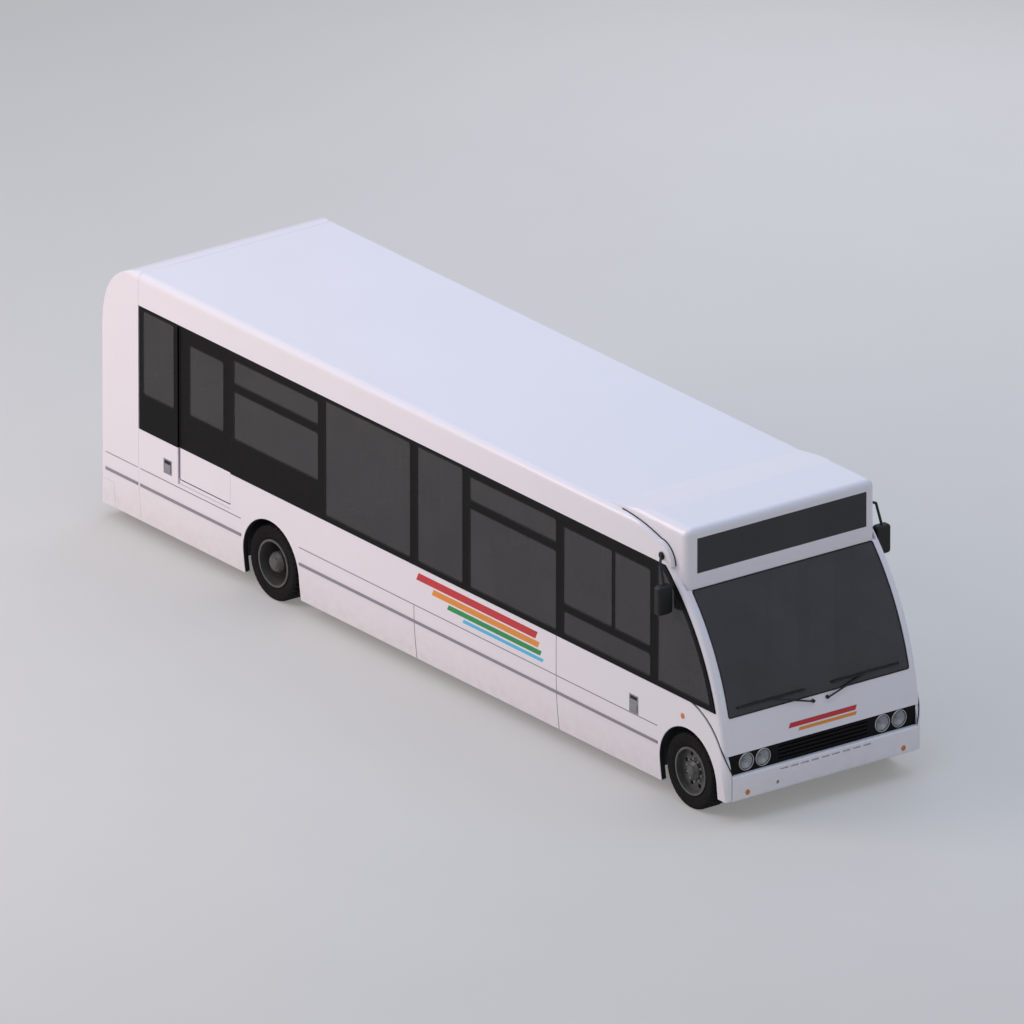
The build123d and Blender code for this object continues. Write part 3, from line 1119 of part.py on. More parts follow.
DRIVER_Y = -720.0
WHEEL_R = 220.0
WHEEL_GRIP_R = 16.0
WHEEL_BOSS_R = 60.0
COLUMN_R = 50.0
COLUMN_NECK_R = 32.0
COLUMN_HEIGHT = 380.0
WHEEL_HEIGHT = 590.0
WHEEL_SETBACK = 70.0
column_x = box_rear_x - 60.0
column_top = (column_x, DRIVER_Y, CAB_FLOOR_Z + COLUMN_HEIGHT)
wheel_centre = (column_x - WHEEL_SETBACK, DRIVER_Y, CAB_FLOOR_Z + WHEEL_HEIGHT)
steering = rod((column_x, DRIVER_Y, CAB_FLOOR_Z), column_top, COLUMN_R)
steering += rod(column_top, wheel_centre, COLUMN_NECK_R)
steering += Pos(*column_top) * Sphere(COLUMN_R)
rim_plane = Plane(origin=wheel_centre, z_dir=Vector(*wheel_centre) - Vector(*column_top), x_dir=(0, 1, 0))
steering += rim_plane * Torus(WHEEL_R, WHEEL_GRIP_R)
steering += rim_plane * Box(2 * WHEEL_R, 40.0, WHEEL_GRIP_R)
steering += rim_plane * Cylinder(WHEEL_BOSS_R, 2 * WHEEL_GRIP_R)
store("steering_wheel", steering)

seat_x = column_x - 420.0
DRIVER_PAN_Z = CAB_FLOOR_Z + 330.0
DRIVER_BASE_HALF = 200.0
DRIVER_SEAT_HALF = 240.0
driver_base_y = (DRIVER_Y - DRIVER_BASE_HALF, DRIVER_Y + DRIVER_BASE_HALF)
driver_base = block((seat_x - 150.0, seat_x + DRIVER_BASE_HALF), driver_base_y, (CAB_FLOOR_Z, DRIVER_PAN_Z))

# Soft seat: reaches before and behind its reference and heights over its pan or below its top
PAN_REAR = 60.0
CUSHION_FRONT = 440.0
CUSHION_EDGE = 70.0
CUSHION_NOSE = (425.0, 100.0)
CUSHION_CREST = (390.0, 105.0)
CUSHION_ROOT = (30.0, 90.0)
BACK_FACE = (50.0, 40.0)
BACK_CREST = 80.0
BACK_REACH = 130.0
BACK_SLOPE = 10.0


def seat_form(x, y, z, back_height):
    """A cushion and a raked back in one soft solid, standing on the given height."""
    top = z + back_height
    return side_prism([
        (x + CUSHION_FRONT, z), (x + CUSHION_FRONT, z + CUSHION_EDGE),
        ((x + CUSHION_NOSE[0], z + CUSHION_NOSE[1]), (x + CUSHION_CREST[0], z + CUSHION_CREST[1])),
        (x + CUSHION_ROOT[0], z + CUSHION_ROOT[1]), (x - BACK_FACE[0], top - BACK_FACE[1]),
        ((x - BACK_CREST, top), (x - BACK_REACH, top - BACK_SLOPE)), (x - PAN_REAR, z)], y)


driver_y = (DRIVER_Y - DRIVER_SEAT_HALF, DRIVER_Y + DRIVER_SEAT_HALF)
store("driver_seat", seat_form(seat_x - DRIVER_BASE_HALF, driver_y, DRIVER_PAN_Z, 800.0))

# Partition behind the driver and the half door beside the seat
PARTITION_T = 30.0
PARTITION_TOP_Z = ROOF_Z - 760.0
HALF_DOOR_TOP_Z = 1400.0
HALF_DOOR_ROOM = 350.0
partition_x = (CAB_REAR_X, CAB_REAR_X + PARTITION_T)
partition = block(partition_x, (-SIDE_Y, -CAB_INNER_Y), (CAB_FLOOR_Z, PARTITION_TOP_Z))
half_door_y = (-CAB_INNER_Y - PARTITION_T, -CAB_INNER_Y)
half_door = block((CAB_REAR_X, box_rear_x - HALF_DOOR_ROOM), half_door_y, (CAB_FLOOR_Z, HALF_DOOR_TOP_Z))
store("cab_partition", (partition + half_door) & inner)

# Passenger seats. Rows: seat's reference X, side (-1 right, 1 left), floor height
AISLE_HALF = 300.0
SEAT_PITCH = 760.0
SEAT_GAP = 10.0
SEAT_PAN_Z = (320.0, 350.0)
SEAT_BACK_HEIGHT = 720.0
PAN_FRONT = 420.0
LEG_X = (120.0, 220.0)
LEG_Y = (20.0, 70.0)
WALL_ROOM = 2.0
FIRST_ROW_X = BAY_FRONT_X - 150.0
LOW_ROW_ROOM = 230.0
LEFT_ROWS_FROM = 2
low_rows = int((FIRST_ROW_X - LOW_ROW_ROOM - STEP_X) // SEAT_PITCH) + 1
seat_rows = []
for index in range(low_rows):
    seat_rows.append((FIRST_ROW_X - index * SEAT_PITCH, -1, LOW_FLOOR_Z))
for index in range(LEFT_ROWS_FROM, low_rows):
    seat_rows.append((FIRST_ROW_X - index * SEAT_PITCH, 1, LOW_FLOOR_Z))
REAR_ROW_X = STEP_X - 500.0
for index in range(2):
    for side_sign in (-1, 1):
        seat_rows.append((REAR_ROW_X - index * SEAT_PITCH, side_sign, REAR_FLOOR_Z))
seat_rows.append((REAR_ROW_X - 2 * SEAT_PITCH, 1, REAR_FLOOR_Z))
seat_width = (INNER_Y - AISLE_HALF - 3 * SEAT_GAP) / 2
cushions = []
frames = [driver_base]
for row_x, side_sign, level in seat_rows:
    pan_x = (row_x - PAN_REAR, row_x + PAN_FRONT)
    leg_x = (row_x + LEG_X[0], row_x + LEG_X[1])
    leg_y = (AISLE_HALF + LEG_Y[0], AISLE_HALF + LEG_Y[1])
    pan = block(pan_x, (AISLE_HALF, INNER_Y - WALL_ROOM), (level + SEAT_PAN_Z[0], level + SEAT_PAN_Z[1]))
    pan += block(leg_x, leg_y, (level, level + SEAT_PAN_Z[1]))
    pair = [pan]
    for place in range(2):
        start = AISLE_HALF + SEAT_GAP + place * (seat_width + SEAT_GAP)
        pair.append(seat_form(row_x, (start, start + seat_width), level + SEAT_PAN_Z[1], SEAT_BACK_HEIGHT))
    if side_sign < 0:
        pair = [other_side(piece) for piece in pair]
    frames.append(pair[0])
    cushions.extend(pair[1:])
BACK_ROW_SEATS = 5
BACK_PAN_HEIGHT = 330.0
back_width = 2 * (INNER_Y - SEAT_GAP) / BACK_ROW_SEATS
BACK_ROW_ROOM = 87.0
back_pan_z = ENGINE_DECK_Z + BACK_PAN_HEIGHT
back_row_x = rear_inside(back_pan_z + SEAT_BACK_HEIGHT) + BACK_ROW_ROOM + BACK_REACH
back_pan_x = (back_row_x - PAN_REAR, back_row_x + PAN_FRONT)
frames.append(block(back_pan_x, (-INNER_Y + WALL_ROOM, INNER_Y - WALL_ROOM), (ENGINE_DECK_Z, back_pan_z)))
for place in range(BACK_ROW_SEATS):
    start = -INNER_Y + SEAT_GAP + place * back_width
    back_y = (start + SEAT_GAP / 2, start + back_width - SEAT_GAP / 2)
    cushions.append(seat_form(back_row_x, back_y, back_pan_z, SEAT_BACK_HEIGHT))
store("seat_frames", *frames)
store("seat_cushions", *cushions)

# Grab poles from floor to ceiling along the aisle
POLE_R = 17.0
POLE_Y = AISLE_HALF - 35.0
CEILING_Z = ROOF_Z - WALL
poles = []
for pole_x in (FIRST_ROW_X - 0.6 * SEAT_PITCH, FIRST_ROW_X - 2.6 * SEAT_PITCH, STEP_X + 80):
    for side_sign in (-1, 1):
        pole_y = side_sign * POLE_Y
        poles.append(rod((pole_x, pole_y, LOW_FLOOR_Z), (pole_x, pole_y, CEILING_Z), POLE_R))
store("grab_poles", *poles)

# Mirrors on arms from the cant panels
MIRROR_ROOT = (PILLAR_TOP_X - 123.0, -SIDE_Y, ROOF_Z - 260.0)
MIRROR_BEND = (PILLAR_TOP_X - 13.0, -SIDE_Y - 105.0, ROOF_Z - 280.0)
MIRROR_HEAD = (PILLAR_TOP_X + 67.0, -SIDE_Y - 120.0, ROOF_Z - 645.0)
MIRROR_SIZE = (80.0, 180.0, 310.0)
MIRROR_ARM_R = 14.0
MIRROR_PAD_T = 12.0
MIRROR_GLASS_T = 4.0
MIRROR_PAD_R = 42.0
MIRROR_CASE_R = 35.0
MIRROR_FRONT_R = 25.0
MIRROR_RIM = 14.0
mirror_half_y = MIRROR_SIZE[1] / 2 - MIRROR_RIM
mirror_half_z = MIRROR_SIZE[2] / 2 - MIRROR_RIM
arm_root = (MIRROR_ROOT[0], MIRROR_ROOT[1] - MIRROR_PAD_T, MIRROR_ROOT[2])
root_pad = rod(MIRROR_ROOT, arm_root, MIRROR_PAD_R)
head_top = (MIRROR_HEAD[0], MIRROR_HEAD[1], MIRROR_HEAD[2] + MIRROR_SIZE[2] / 2 - 10)
case = Pos(*MIRROR_HEAD) * Box(*MIRROR_SIZE)
case = fillet(case.edges().filter_by(Axis.X), MIRROR_CASE_R)
case = fillet(case.edges().group_by(Axis.X)[-1], MIRROR_FRONT_R)
arm = rod(arm_root, MIRROR_BEND, MIRROR_ARM_R)
arm += Pos(*MIRROR_BEND) * Sphere(MIRROR_ARM_R)
arm += rod(MIRROR_BEND, head_top, MIRROR_ARM_R)
mirror_case = root_pad + arm + case
glass_face_x = MIRROR_HEAD[0] - MIRROR_SIZE[0] / 2
mirror_glass = block((glass_face_x, glass_face_x + MIRROR_GLASS_T),
                     (MIRROR_HEAD[1] - mirror_half_y, MIRROR_HEAD[1] + mirror_half_y),
                     (MIRROR_HEAD[2] - mirror_half_z, MIRROR_HEAD[2] + mirror_half_z))
mirror_glass = fillet(mirror_glass.edges().filter_by(Axis.X), MIRROR_FRONT_R)
mirror_case -= mirror_glass
store("mirrors", mirror_case, other_side(mirror_case))
store("mirror_glass", mirror_glass, other_side(mirror_glass))

# Write one file for each piece
for name, solids in nodes.items():
    shape = solids[0] if len(solids) == 1 else Compound(solids)
    export_step(shape, "parts/" + name + ".step")
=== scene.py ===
import json

import bpy
import numpy as np
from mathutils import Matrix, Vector

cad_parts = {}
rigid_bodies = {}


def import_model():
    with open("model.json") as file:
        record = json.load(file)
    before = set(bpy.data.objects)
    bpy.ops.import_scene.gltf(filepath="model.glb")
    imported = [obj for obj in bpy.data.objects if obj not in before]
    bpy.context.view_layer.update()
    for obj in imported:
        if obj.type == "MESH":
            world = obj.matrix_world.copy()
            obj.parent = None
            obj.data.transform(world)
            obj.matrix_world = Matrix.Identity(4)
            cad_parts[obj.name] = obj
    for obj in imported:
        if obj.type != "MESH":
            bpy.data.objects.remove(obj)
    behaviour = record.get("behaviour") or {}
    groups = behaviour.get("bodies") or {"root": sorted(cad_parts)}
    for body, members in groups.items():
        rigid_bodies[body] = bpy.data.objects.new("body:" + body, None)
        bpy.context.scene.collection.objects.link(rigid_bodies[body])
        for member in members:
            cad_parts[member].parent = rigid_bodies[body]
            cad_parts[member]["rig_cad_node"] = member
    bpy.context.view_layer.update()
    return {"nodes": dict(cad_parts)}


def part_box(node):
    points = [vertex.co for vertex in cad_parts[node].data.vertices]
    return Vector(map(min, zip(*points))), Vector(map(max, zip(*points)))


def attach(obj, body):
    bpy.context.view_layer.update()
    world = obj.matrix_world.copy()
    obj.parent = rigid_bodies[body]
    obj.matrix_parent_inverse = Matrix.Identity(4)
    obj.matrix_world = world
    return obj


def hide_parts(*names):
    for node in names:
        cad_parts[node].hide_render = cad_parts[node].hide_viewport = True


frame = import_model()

bl_info = {
    "name": "Midibus",
    "version": (1, 0, 0),
    "blender": (4, 5, 0),
    "location": "View3D > Sidebar > Midibus",
    "description": "Dresses the midibus with tyres, seats, seals, lamps, stripes and finishes",
    "category": "Object",
}

TURN = 2 * np.pi
MM = 0.001
# The body's sides: how far out they are, the upper rub rail, and the skirt's foot and how far it tucks in
SIDE_Y, RAIL_Z, SKIRT_Z, SKIRT_TUCK = 1.25, 0.745, 0.15, 0.04
# The arcs of the end walls: X and Z of an axis across the bus, radius, and 1 or -1 for the facing
FRONT_WALL = (2.49066, 0.465, 2.77334, 1)
REAR_WALL = (-0.22744, 1.3, 5.07256, -1)
# A side window that reaches further forward than this is the quarter window
QUARTER_X = 4.4
# Middle of the groove over the front wing, in X and Z
WING_EDGE = ((4.706, 1.177), (5.104, 0.937), (5.289, 0.548))
# The same for the two arcs of the joint between the roof's side and the dome
DOME_EDGE = ((3.5, 2.863), (3.85, 2.825), (4.15, 2.748), (4.33, 2.663), (4.385, 2.523))
WHEELS = {
    "tyre_front_left": "wheel_front_left", "tyre_front_right": "wheel_front_right",
    "tyres_rear_left": "wheels_rear_left", "tyres_rear_right": "wheels_rear_right"}


def linear(code):
    """The linear colour, with alpha 1, of an sRGB hex code."""
    srgb = np.array([int(code[i:i + 2], 16) for i in (0, 2, 4)]) / 255
    light = np.where(srgb <= 0.04045, srgb / 12.92, ((srgb + 0.055) / 1.055) ** 2.4)
    return (*light.tolist(), 1.0)


def colour(name, about, code):
    """A colour that a user may change."""
    return bpy.props.FloatVectorProperty(
        name=name, description=about, default=linear(code), size=4, min=0, max=1, subtype="COLOR")


def length(name, about, default):
    """A length in metres that a user may change."""
    return bpy.props.FloatProperty(
        name=name, description=about, default=default, min=0, unit="LENGTH", subtype="DISTANCE")


class MidibusColours(bpy.types.PropertyGroup):
    """Colours that a user may want to change."""
    body: colour("Body", "Enamel of the body panels and the roof", "ECE7E8")
    band: colour("Window band", "Black band that the side windows are bonded to", "0F0E0E")
    glass: colour("Glass", "Tint of the windows", "363434")
    screen: colour("Windscreen", "Tint of the windscreen", "36373B")
    sign: colour("Destination glass", "Dark glass of the blank destination sign", "222125")
    wheel: colour("Wheels", "Paint of the wheels", "4C4D4B")
    cloth: colour("Seat cloth", "Ground colour of the seat cloth", "2B3A63")
    cloth_fleck: colour("Seat cloth fleck", "Fleck woven into the seat cloth", "B0452F")
    poles: colour("Grab poles", "Powder coat of the grab poles", "E8B21C")
    stripe_red: colour("Red stripe", "Film of the red stripes", "C8202A")
    stripe_orange: colour("Orange stripe", "Film of the orange stripes", "E8912B")
    stripe_green: colour("Green stripe", "Film of the green stripes", "159048")
    stripe_blue: colour("Blue stripe", "Film of the blue stripes", "58BFE6")


class MidibusSizes(bpy.types.PropertyGroup):
    """Sizes that a user may want to change."""
    tread_depth: length("Tread depth", "Depth of the grooves in the tyres' tread", 0.012)
    groove_width: length("Groove width", "Width of the grooves round the tyres", 0.011)
    seal_width: length("Seal width", "Width of the rubber seals round the windows", 0.014)
    seal_height: length("Seal height", "How far the window seals stand over the glass", 0.006)
    nut_size: length("Wheel nut", "Width of a wheel nut across its corners", 0.028)
    cushion_crown: length("Cushion crown", "Rise of a seat cushion in its middle", 0.022)
    stripe_height: length("Stripe height", "Height of one stripe on the side", 0.055)


# Surfaces


def quads(rows, columns, wrap_rows=False, wrap_columns=False):
    """Faces of a grid of points, row by row, with either direction closed on itself."""
    r = np.arange(rows if wrap_rows else rows - 1)
    c = np.arange(columns if wrap_columns else columns - 1)
    r0, c0 = np.meshgrid(r, c, indexing="ij")
    r1, c1 = (r0 + 1) % rows, (c0 + 1) % columns
    corners = (r0 * columns + c0, r0 * columns + c1, r1 * columns + c1, r1 * columns + c0)
    return np.stack(corners, axis=-1).reshape(-1, 4)


def surface(points, wrap_rows=False, wrap_columns=False, caps=False):
    """Points and faces of a grid; caps close its first and last row with a fan about their middles."""
    rows, columns = points.shape[:2]
    flat = points.reshape(-1, 3)
    faces = [quads(rows, columns, wrap_rows, wrap_columns)]
    if caps:
        ends = np.stack([points[0].mean(axis=0), points[-1].mean(axis=0)])
        near = np.arange(columns)
        far = (near + 1) % columns
        last = (rows - 1) * columns
        first_pole, last_pole = np.full(columns, len(flat)), np.full(columns, len(flat) + 1)
        faces.append(np.stack([far, near, first_pole, first_pole], axis=-1))
        faces.append(np.stack([near + last, far + last, last_pole, last_pole], axis=-1))
        flat = np.concatenate([flat, ends])
    faces = np.concatenate(faces)
    if wrap_columns and (wrap_rows or caps):
        faces = facing_out(flat, faces)
    return flat, faces


def facing_out(points, faces):
    """Turns the faces of a closed shape over where its signed volume is below zero and they face inward."""
    a, b, c, d = (points[faces[:, corner]] for corner in range(4))
    volume = np.sum(a * (np.cross(b, c) + np.cross(c, d)))
    return faces if volume > 0 else faces[:, [1, 0, 3, 2]]


def together(shapes):
    """Several shapes as one set of points and faces."""
    starts = np.cumsum([0] + [len(points) for points, _ in shapes[:-1]])
    points = np.concatenate([points for points, _ in shapes])
    return points, np.concatenate([faces + start for (_, faces), start in zip(shapes, starts)])


def piece(name, shape, material, body, attribute=None):
    """A smooth mesh object at the origin from points and faces, riding on a body of the CAD model if one is
    named; an attribute is a label and a value for each point."""
    points, faces = shape
    mesh = bpy.data.meshes.new(name)
    triangles = faces[:, 2] == faces[:, 3]
    mesh.from_pydata(points.tolist(), [], faces[~triangles].tolist() + faces[triangles][:, :3].tolist())
    mesh.polygons.foreach_set("use_smooth", np.full(len(mesh.polygons), True))
    if attribute is not None:
        label, values = attribute
        mesh.attributes.new(label, "FLOAT", "POINT").data.foreach_set("value", values.astype(np.float32))
    mesh.materials.append(material)
    mesh.update()
    made = bpy.data.objects.new(name, mesh)
    bpy.context.collection.objects.link(made)
    if body is not None:
        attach(made, body)
    return made


def sharpen(made, degrees=35):
    """Keeps edges sharp where two faces meet at more than the given angle."""
    made.data.set_sharp_from_angle(angle=np.radians(degrees))


def rounded_loop(width, height, radius, turns=5):
    """A rounded rectangle about the origin: four quarter turns of the radius joined by straights."""
    quarter = np.linspace(0, np.pi / 2, turns)
    corners = [(1, 1, 0), (-1, 1, 1), (-1, -1, 2), (1, -1, 3)]
    parts = [
        np.stack([sx * (width / 2 - radius) + radius * np.cos(quarter + k * np.pi / 2),
                  sy * (height / 2 - radius) + radius * np.sin(quarter + k * np.pi / 2)], axis=-1)
        for sx, sy, k in corners]
    return np.concatenate(parts)


def ring(radius, count, start=0.0):
    """Points evenly round a circle in the plane of two axes."""
    angle = start + np.arange(count) / count * TURN
    return np.stack([radius * np.cos(angle), radius * np.sin(angle)], axis=-1)


def carried(path, profile, up, closed=False, caps=False):
    """A closed profile carried along a path: each of its points is offset from the path along the side and
    the up direction there, the side being the cross product of the path's direction and up."""
    path = np.asarray(path, float)
    ahead = np.roll(path, -1, axis=0) - np.roll(path, 1, axis=0)
    if not closed:
        ahead[0], ahead[-1] = path[1] - path[0], path[-1] - path[-2]
    ahead /= np.linalg.norm(ahead, axis=1, keepdims=True)
    up = np.broadcast_to(np.asarray(up, float), path.shape)
    side = np.cross(ahead, up)
    side /= np.linalg.norm(side, axis=1, keepdims=True)
    above = np.cross(side, ahead)
    profile = np.asarray(profile, float)
    points = path[:, None] + profile[None, :, :1] * side[:, None] + profile[None, :, 1:] * above[:, None]
    return surface(points, wrap_rows=closed, wrap_columns=True, caps=caps and not closed)


# Materials

NOISE, VORONOI, WAVE = "ShaderNodeTexNoise", "ShaderNodeTexVoronoi", "ShaderNodeTexWave"
RANGE, MATH, BUMP, MIX = "ShaderNodeMapRange", "ShaderNodeMath", "ShaderNodeBump", "ShaderNodeMix"
# A Mix node of colours has its factor at socket 0, its colours at 6 and 7 and its output at 2
COLOURS = {"data_type": "RGBA", "output": 2}


def add(tree, kind, inputs=None, output=0, **settings):
    """Adds a node with its settings; an input takes a value or another node's output. Returns one output."""
    node = tree.nodes.new(kind)
    for name, value in settings.items():
        setattr(node, name, value)
    for name, value in (inputs or {}).items():
        if isinstance(value, bpy.types.NodeSocket):
            tree.links.new(value, node.inputs[name])
        else:
            node.inputs[name].default_value = value
    return node.outputs[output]


def begun(name, **values):
    """A new material with constant values on its shader: it, its tree and the Object coordinates."""
    material = bpy.data.materials.new(name)
    material.use_nodes = True
    tree = material.node_tree
    for key, value in values.items():
        tree.nodes["Principled BSDF"].inputs[key.replace("_", " ")].default_value = value
    return material, tree, add(tree, "ShaderNodeTexCoord", output="Object")


def ended(material, **outputs):
    """The material, with outputs of its nodes linked to its shader."""
    tree = material.node_tree
    for key, value in outputs.items():
        tree.links.new(value, tree.nodes["Principled BSDF"].inputs[key.replace("_", " ")])
    return material


def features(size):
    """Scale of a pattern, in features a metre, from the size of a feature in millimetres."""
    return 1000 / size


def patches(tree, place, size, detail, low, high, to_low=0.0, to_high=1.0):
    """Soft patches of a size in millimetres: noise taken from one range to another."""
    cloud = add(tree, NOISE, {"Vector": place, "Scale": features(size), "Detail": detail})
    return add(tree, RANGE, {
        "Value": cloud, "From Min": low, "From Max": high, "To Min": to_low, "To Max": to_high})


def grained(tree, place, size, detail, depth):
    """A surface raised by noise, of a size and a depth in millimetres."""
    grain = add(tree, NOISE, {"Vector": place, "Scale": features(size), "Detail": detail})
    return add(tree, BUMP, {"Height": grain, "Distance": depth * MM})


def shade(code, factor):
    """A colour made darker or lighter by a factor."""
    return (*[min(1.0, part * factor) for part in code[:3]], 1.0)


def enamel(name, code):
    """Two-pack enamel sprayed on panels: a clear gloss over white, the faint ripple of sprayed film, and
    road dust in patches, thicker towards the skirt."""
    material, tree, place = begun(name, Roughness=0.32, Coat_Weight=0.35, Coat_Roughness=0.12)
    cloud = add(tree, NOISE, {"Vector": place, "Scale": features(900), "Detail": 5.0})
    paint = add(tree, MIX, {0: cloud, 6: shade(code, 0.965), 7: code}, **COLOURS)
    height = add(tree, "ShaderNodeSeparateXYZ", {"Vector": place}, "Z")
    low = add(tree, RANGE, {"Value": height, "From Min": 0.55, "From Max": 0.16, "To Max": 0.14})
    streak = patches(tree, place, 110, 6.0, 0.38, 0.72)
    dust = add(tree, MATH, {0: low, 1: streak}, operation="MULTIPLY")
    # The ripple is 2 mm wide and is drawn at 5 mm, because it would not show
    return ended(
        material, Base_Color=add(tree, MIX, {0: dust, 6: paint, 7: linear("9C9286")}, **COLOURS),
        Normal=grained(tree, place, 5, 1.0, 0.06))


def gloss_black(name, code):
    """Black two-pack paint sprayed on the window band: dark, half glossy, with fine dust in it."""
    material, tree, place = begun(name, Specular_IOR_Level=0.08)
    # Dust is finer than 1 mm and is drawn in specks of 20 mm, because it would not show
    speck = patches(tree, place, 20, 6.0, 0.4, 0.75)
    return ended(
        material, Base_Color=add(tree, MIX, {0: speck, 6: code, 7: shade(code, 1.9)}, **COLOURS),
        Roughness=patches(tree, place, 250, 3.0, 0.3, 0.7, 0.26, 0.4))


def moulded_plastic(name, code):
    """Plastic moulded in a grained tool: dull, worn paler in places, with a leathery grain."""
    material, tree, place = begun(name, Roughness=0.55, Specular_IOR_Level=0.35)
    worn = patches(tree, place, 160, 4.0, 0.35, 0.75)
    # The grain is 1 mm wide and is drawn at about 2 mm, because it would not show
    return ended(
        material, Base_Color=add(tree, MIX, {0: worn, 6: code, 7: shade(code, 1.7)}, **COLOURS),
        Normal=grained(tree, place, 2.2, 2.0, 0.3))


def tinted_glass(name, code, cover):
    """Toughened glass tinted in the melt: a dark sheen that lets the cabin show faintly, with dust and
    smears left by washing."""
    material, tree, place = begun(name, IOR=1.5, Alpha=cover)
    dusty = patches(tree, place, 350, 5.0, 0.35, 0.75)
    return ended(
        material, Base_Color=add(tree, MIX, {0: dusty, 6: code, 7: shade(code, 1.35)}, **COLOURS),
        Roughness=patches(tree, place, 60, 5.0, 0.3, 0.8, 0.03, 0.11))


def silvering(name):
    """Silvered mirror glass: a clean reflection with faint smears."""
    material, tree, place = begun(name, Metallic=1.0, Base_Color=linear("D9DDE0"))
    return ended(material, Roughness=patches(tree, place, 50, 4.0, 0.4, 0.8, 0.02, 0.14))


def fluted_lens(name, code, cover):
    """A pressed lens: clear colour with upright flutes that break up the light behind it; their highlight and
    shade are painted into the colour, lighter on each crest and darker in each hollow.
    """
    material, tree, place = begun(name, Roughness=0.08, IOR=1.49, Alpha=cover, Coat_Weight=0.5)
    # Flutes are 4 mm apart and are drawn at 7 mm to show; a wave of scale 1 has a period of 0.314 m
    given = {"Vector": place, "Scale": 0.314 * features(7)}
    flute_and_painted_shade = add(tree, WAVE, given, "Fac", bands_direction="Y")
    # Painted highlight and shade: the lens colour is lighter on the flutes' crests and darker in their
    # hollows
    return ended(
        material, Base_Color=add(tree, MIX, {0: flute_and_painted_shade, 6: shade(code, 0.8), 7: shade(code, 1.15)}, **COLOURS),
        Normal=add(tree, BUMP, {"Height": flute_and_painted_shade, "Distance": 0.8 * MM}))


def bright_metal(name, code, roughness, grain):
    """Bare or plated metal with the lines of drawing or brushing along the bus. Such lines are under
    0.5 mm wide, and the grain in millimetres is coarser, because they would not show."""
    material, tree, place = begun(name, Metallic=0.9)
    lines = add(tree, "ShaderNodeMapping", {"Vector": place, "Scale": (0.05, 1.0, 1.0)})
    streak = add(tree, NOISE, {"Vector": lines, "Scale": features(grain), "Detail": 4.0})
    return ended(
        material, Base_Color=add(tree, MIX, {0: streak, 6: shade(code, 0.82), 7: code}, **COLOURS),
        Roughness=add(tree, RANGE, {"Value": streak, "From Min": 0.3, "From Max": 0.7,
                                    "To Min": roughness * 0.7, "To Max": roughness * 1.4}))


def sprayed_metal(name, code, roughness, dust):
    """Paint or powder sprayed on steel: an even satin skin with a fine ripple, dusted in patches."""
    material, tree, place = begun(name, Roughness=roughness)
    cloud = patches(tree, place, 70, 6.0, 0.42, 0.72, to_high=dust)
    return ended(
        material, Base_Color=add(tree, MIX, {0: cloud, 6: code, 7: linear("6E665C")}, **COLOURS),
        Normal=grained(tree, place, 3, 2.0, 0.12))


def cast_iron(name):
    """Iron cast in sand: grey, pitted and oily in places."""
    material, tree, place = begun(name, Metallic=0.5)
    # Pits left by sand are 1 mm wide and are drawn at 12 mm, because they would not show
    pits = add(tree, NOISE, {"Vector": place, "Scale": features(12), "Detail": 6.0})
    return ended(
        material, Base_Color=add(tree, MIX, {0: pits, 6: linear("232423"), 7: linear("4A4844")}, **COLOURS),
        Roughness=patches(tree, place, 100, 3.0, 0.3, 0.7, 0.35, 0.8),
        Normal=add(tree, BUMP, {"Height": pits, "Distance": 1.5 * MM}))


def safety_vinyl(name):
    """Safety vinyl rolled with grit: dull dark grey with light flecks."""
    material, tree, place = begun(name, Roughness=0.7)
    # Grit is 1 mm across and is drawn in cells of 7 mm, because it would not show
    grit = add(tree, VORONOI, {"Vector": place, "Scale": features(7.143)})
    spot = add(tree, RANGE, {"Value": grit, "From Min": 0.12, "From Max": 0.2})
    return ended(
        material, Base_Color=add(tree, MIX, {0: spot, 6: linear("8B9095"), 7: linear("3A3E43")}, **COLOURS),
        Normal=add(tree, BUMP, {"Height": grit, "Distance": 0.4 * MM}))


def moquette(name, ground, warm):
    """Moquette woven with a cut pile: a dark ground, flecks of a warm yarn and the rib of the weave."""
    material, tree, place = begun(name, Roughness=0.95, Sheen_Weight=0.4, Specular_IOR_Level=0.15)
    cells = add(tree, VORONOI, {"Vector": place, "Scale": features(35.714)})
    fleck = add(tree, RANGE, {"Value": cells, "From Min": 0.2, "From Max": 0.12})
    # Ribs are 1 mm apart and are drawn at 3 mm to show; a slanting wave of scale 1 has a period of 0.363 m
    given = {"Vector": place, "Scale": 0.363 * features(3.025)}
    rib = add(tree, WAVE, given, "Fac", bands_direction="DIAGONAL")
    deep = add(tree, MATH, {0: rib, 1: 0.5}, operation="MULTIPLY")
    cloth = add(tree, MIX, {0: deep, 6: ground, 7: shade(ground, 0.6)}, **COLOURS)
    return ended(
        material, Base_Color=add(tree, MIX, {0: fleck, 6: cloth, 7: warm}, **COLOURS),
        Normal=add(tree, BUMP, {"Height": rib, "Distance": 0.8 * MM}))


def tyre_rubber(name):
    """Rubber cured in a steel mould: near black and dull, greyed by dust most of all on the tread."""
    material, tree, place = begun(name, Roughness=0.8, Specular_IOR_Level=0.15)
    tread = add(tree, "ShaderNodeAttribute", output="Fac", attribute_name="tread")
    share = add(tree, RANGE, {"Value": tread, "To Min": 0.15, "To Max": 0.5})
    cloud = patches(tree, place, 30, 5.0, 0.35, 0.75)
    dust = add(tree, MATH, {0: cloud, 1: share}, operation="MULTIPLY")
    return ended(
        material, Base_Color=add(tree, MIX, {0: dust, 6: linear("0F0E0F"), 7: linear("403C39")}, **COLOURS),
        Normal=grained(tree, place, 2, 2.0, 0.2))


def soft_rubber(name, code):
    """Rubber pressed through a die or moulded: dull black with faint chalky bloom."""
    material, tree, place = begun(name, Roughness=0.65, Specular_IOR_Level=0.3)
    bloom = patches(tree, place, 40, 5.0, 0.45, 0.8)
    return ended(material, Base_Color=add(tree, MIX, {0: bloom, 6: code, 7: shade(code, 2.2)}, **COLOURS))


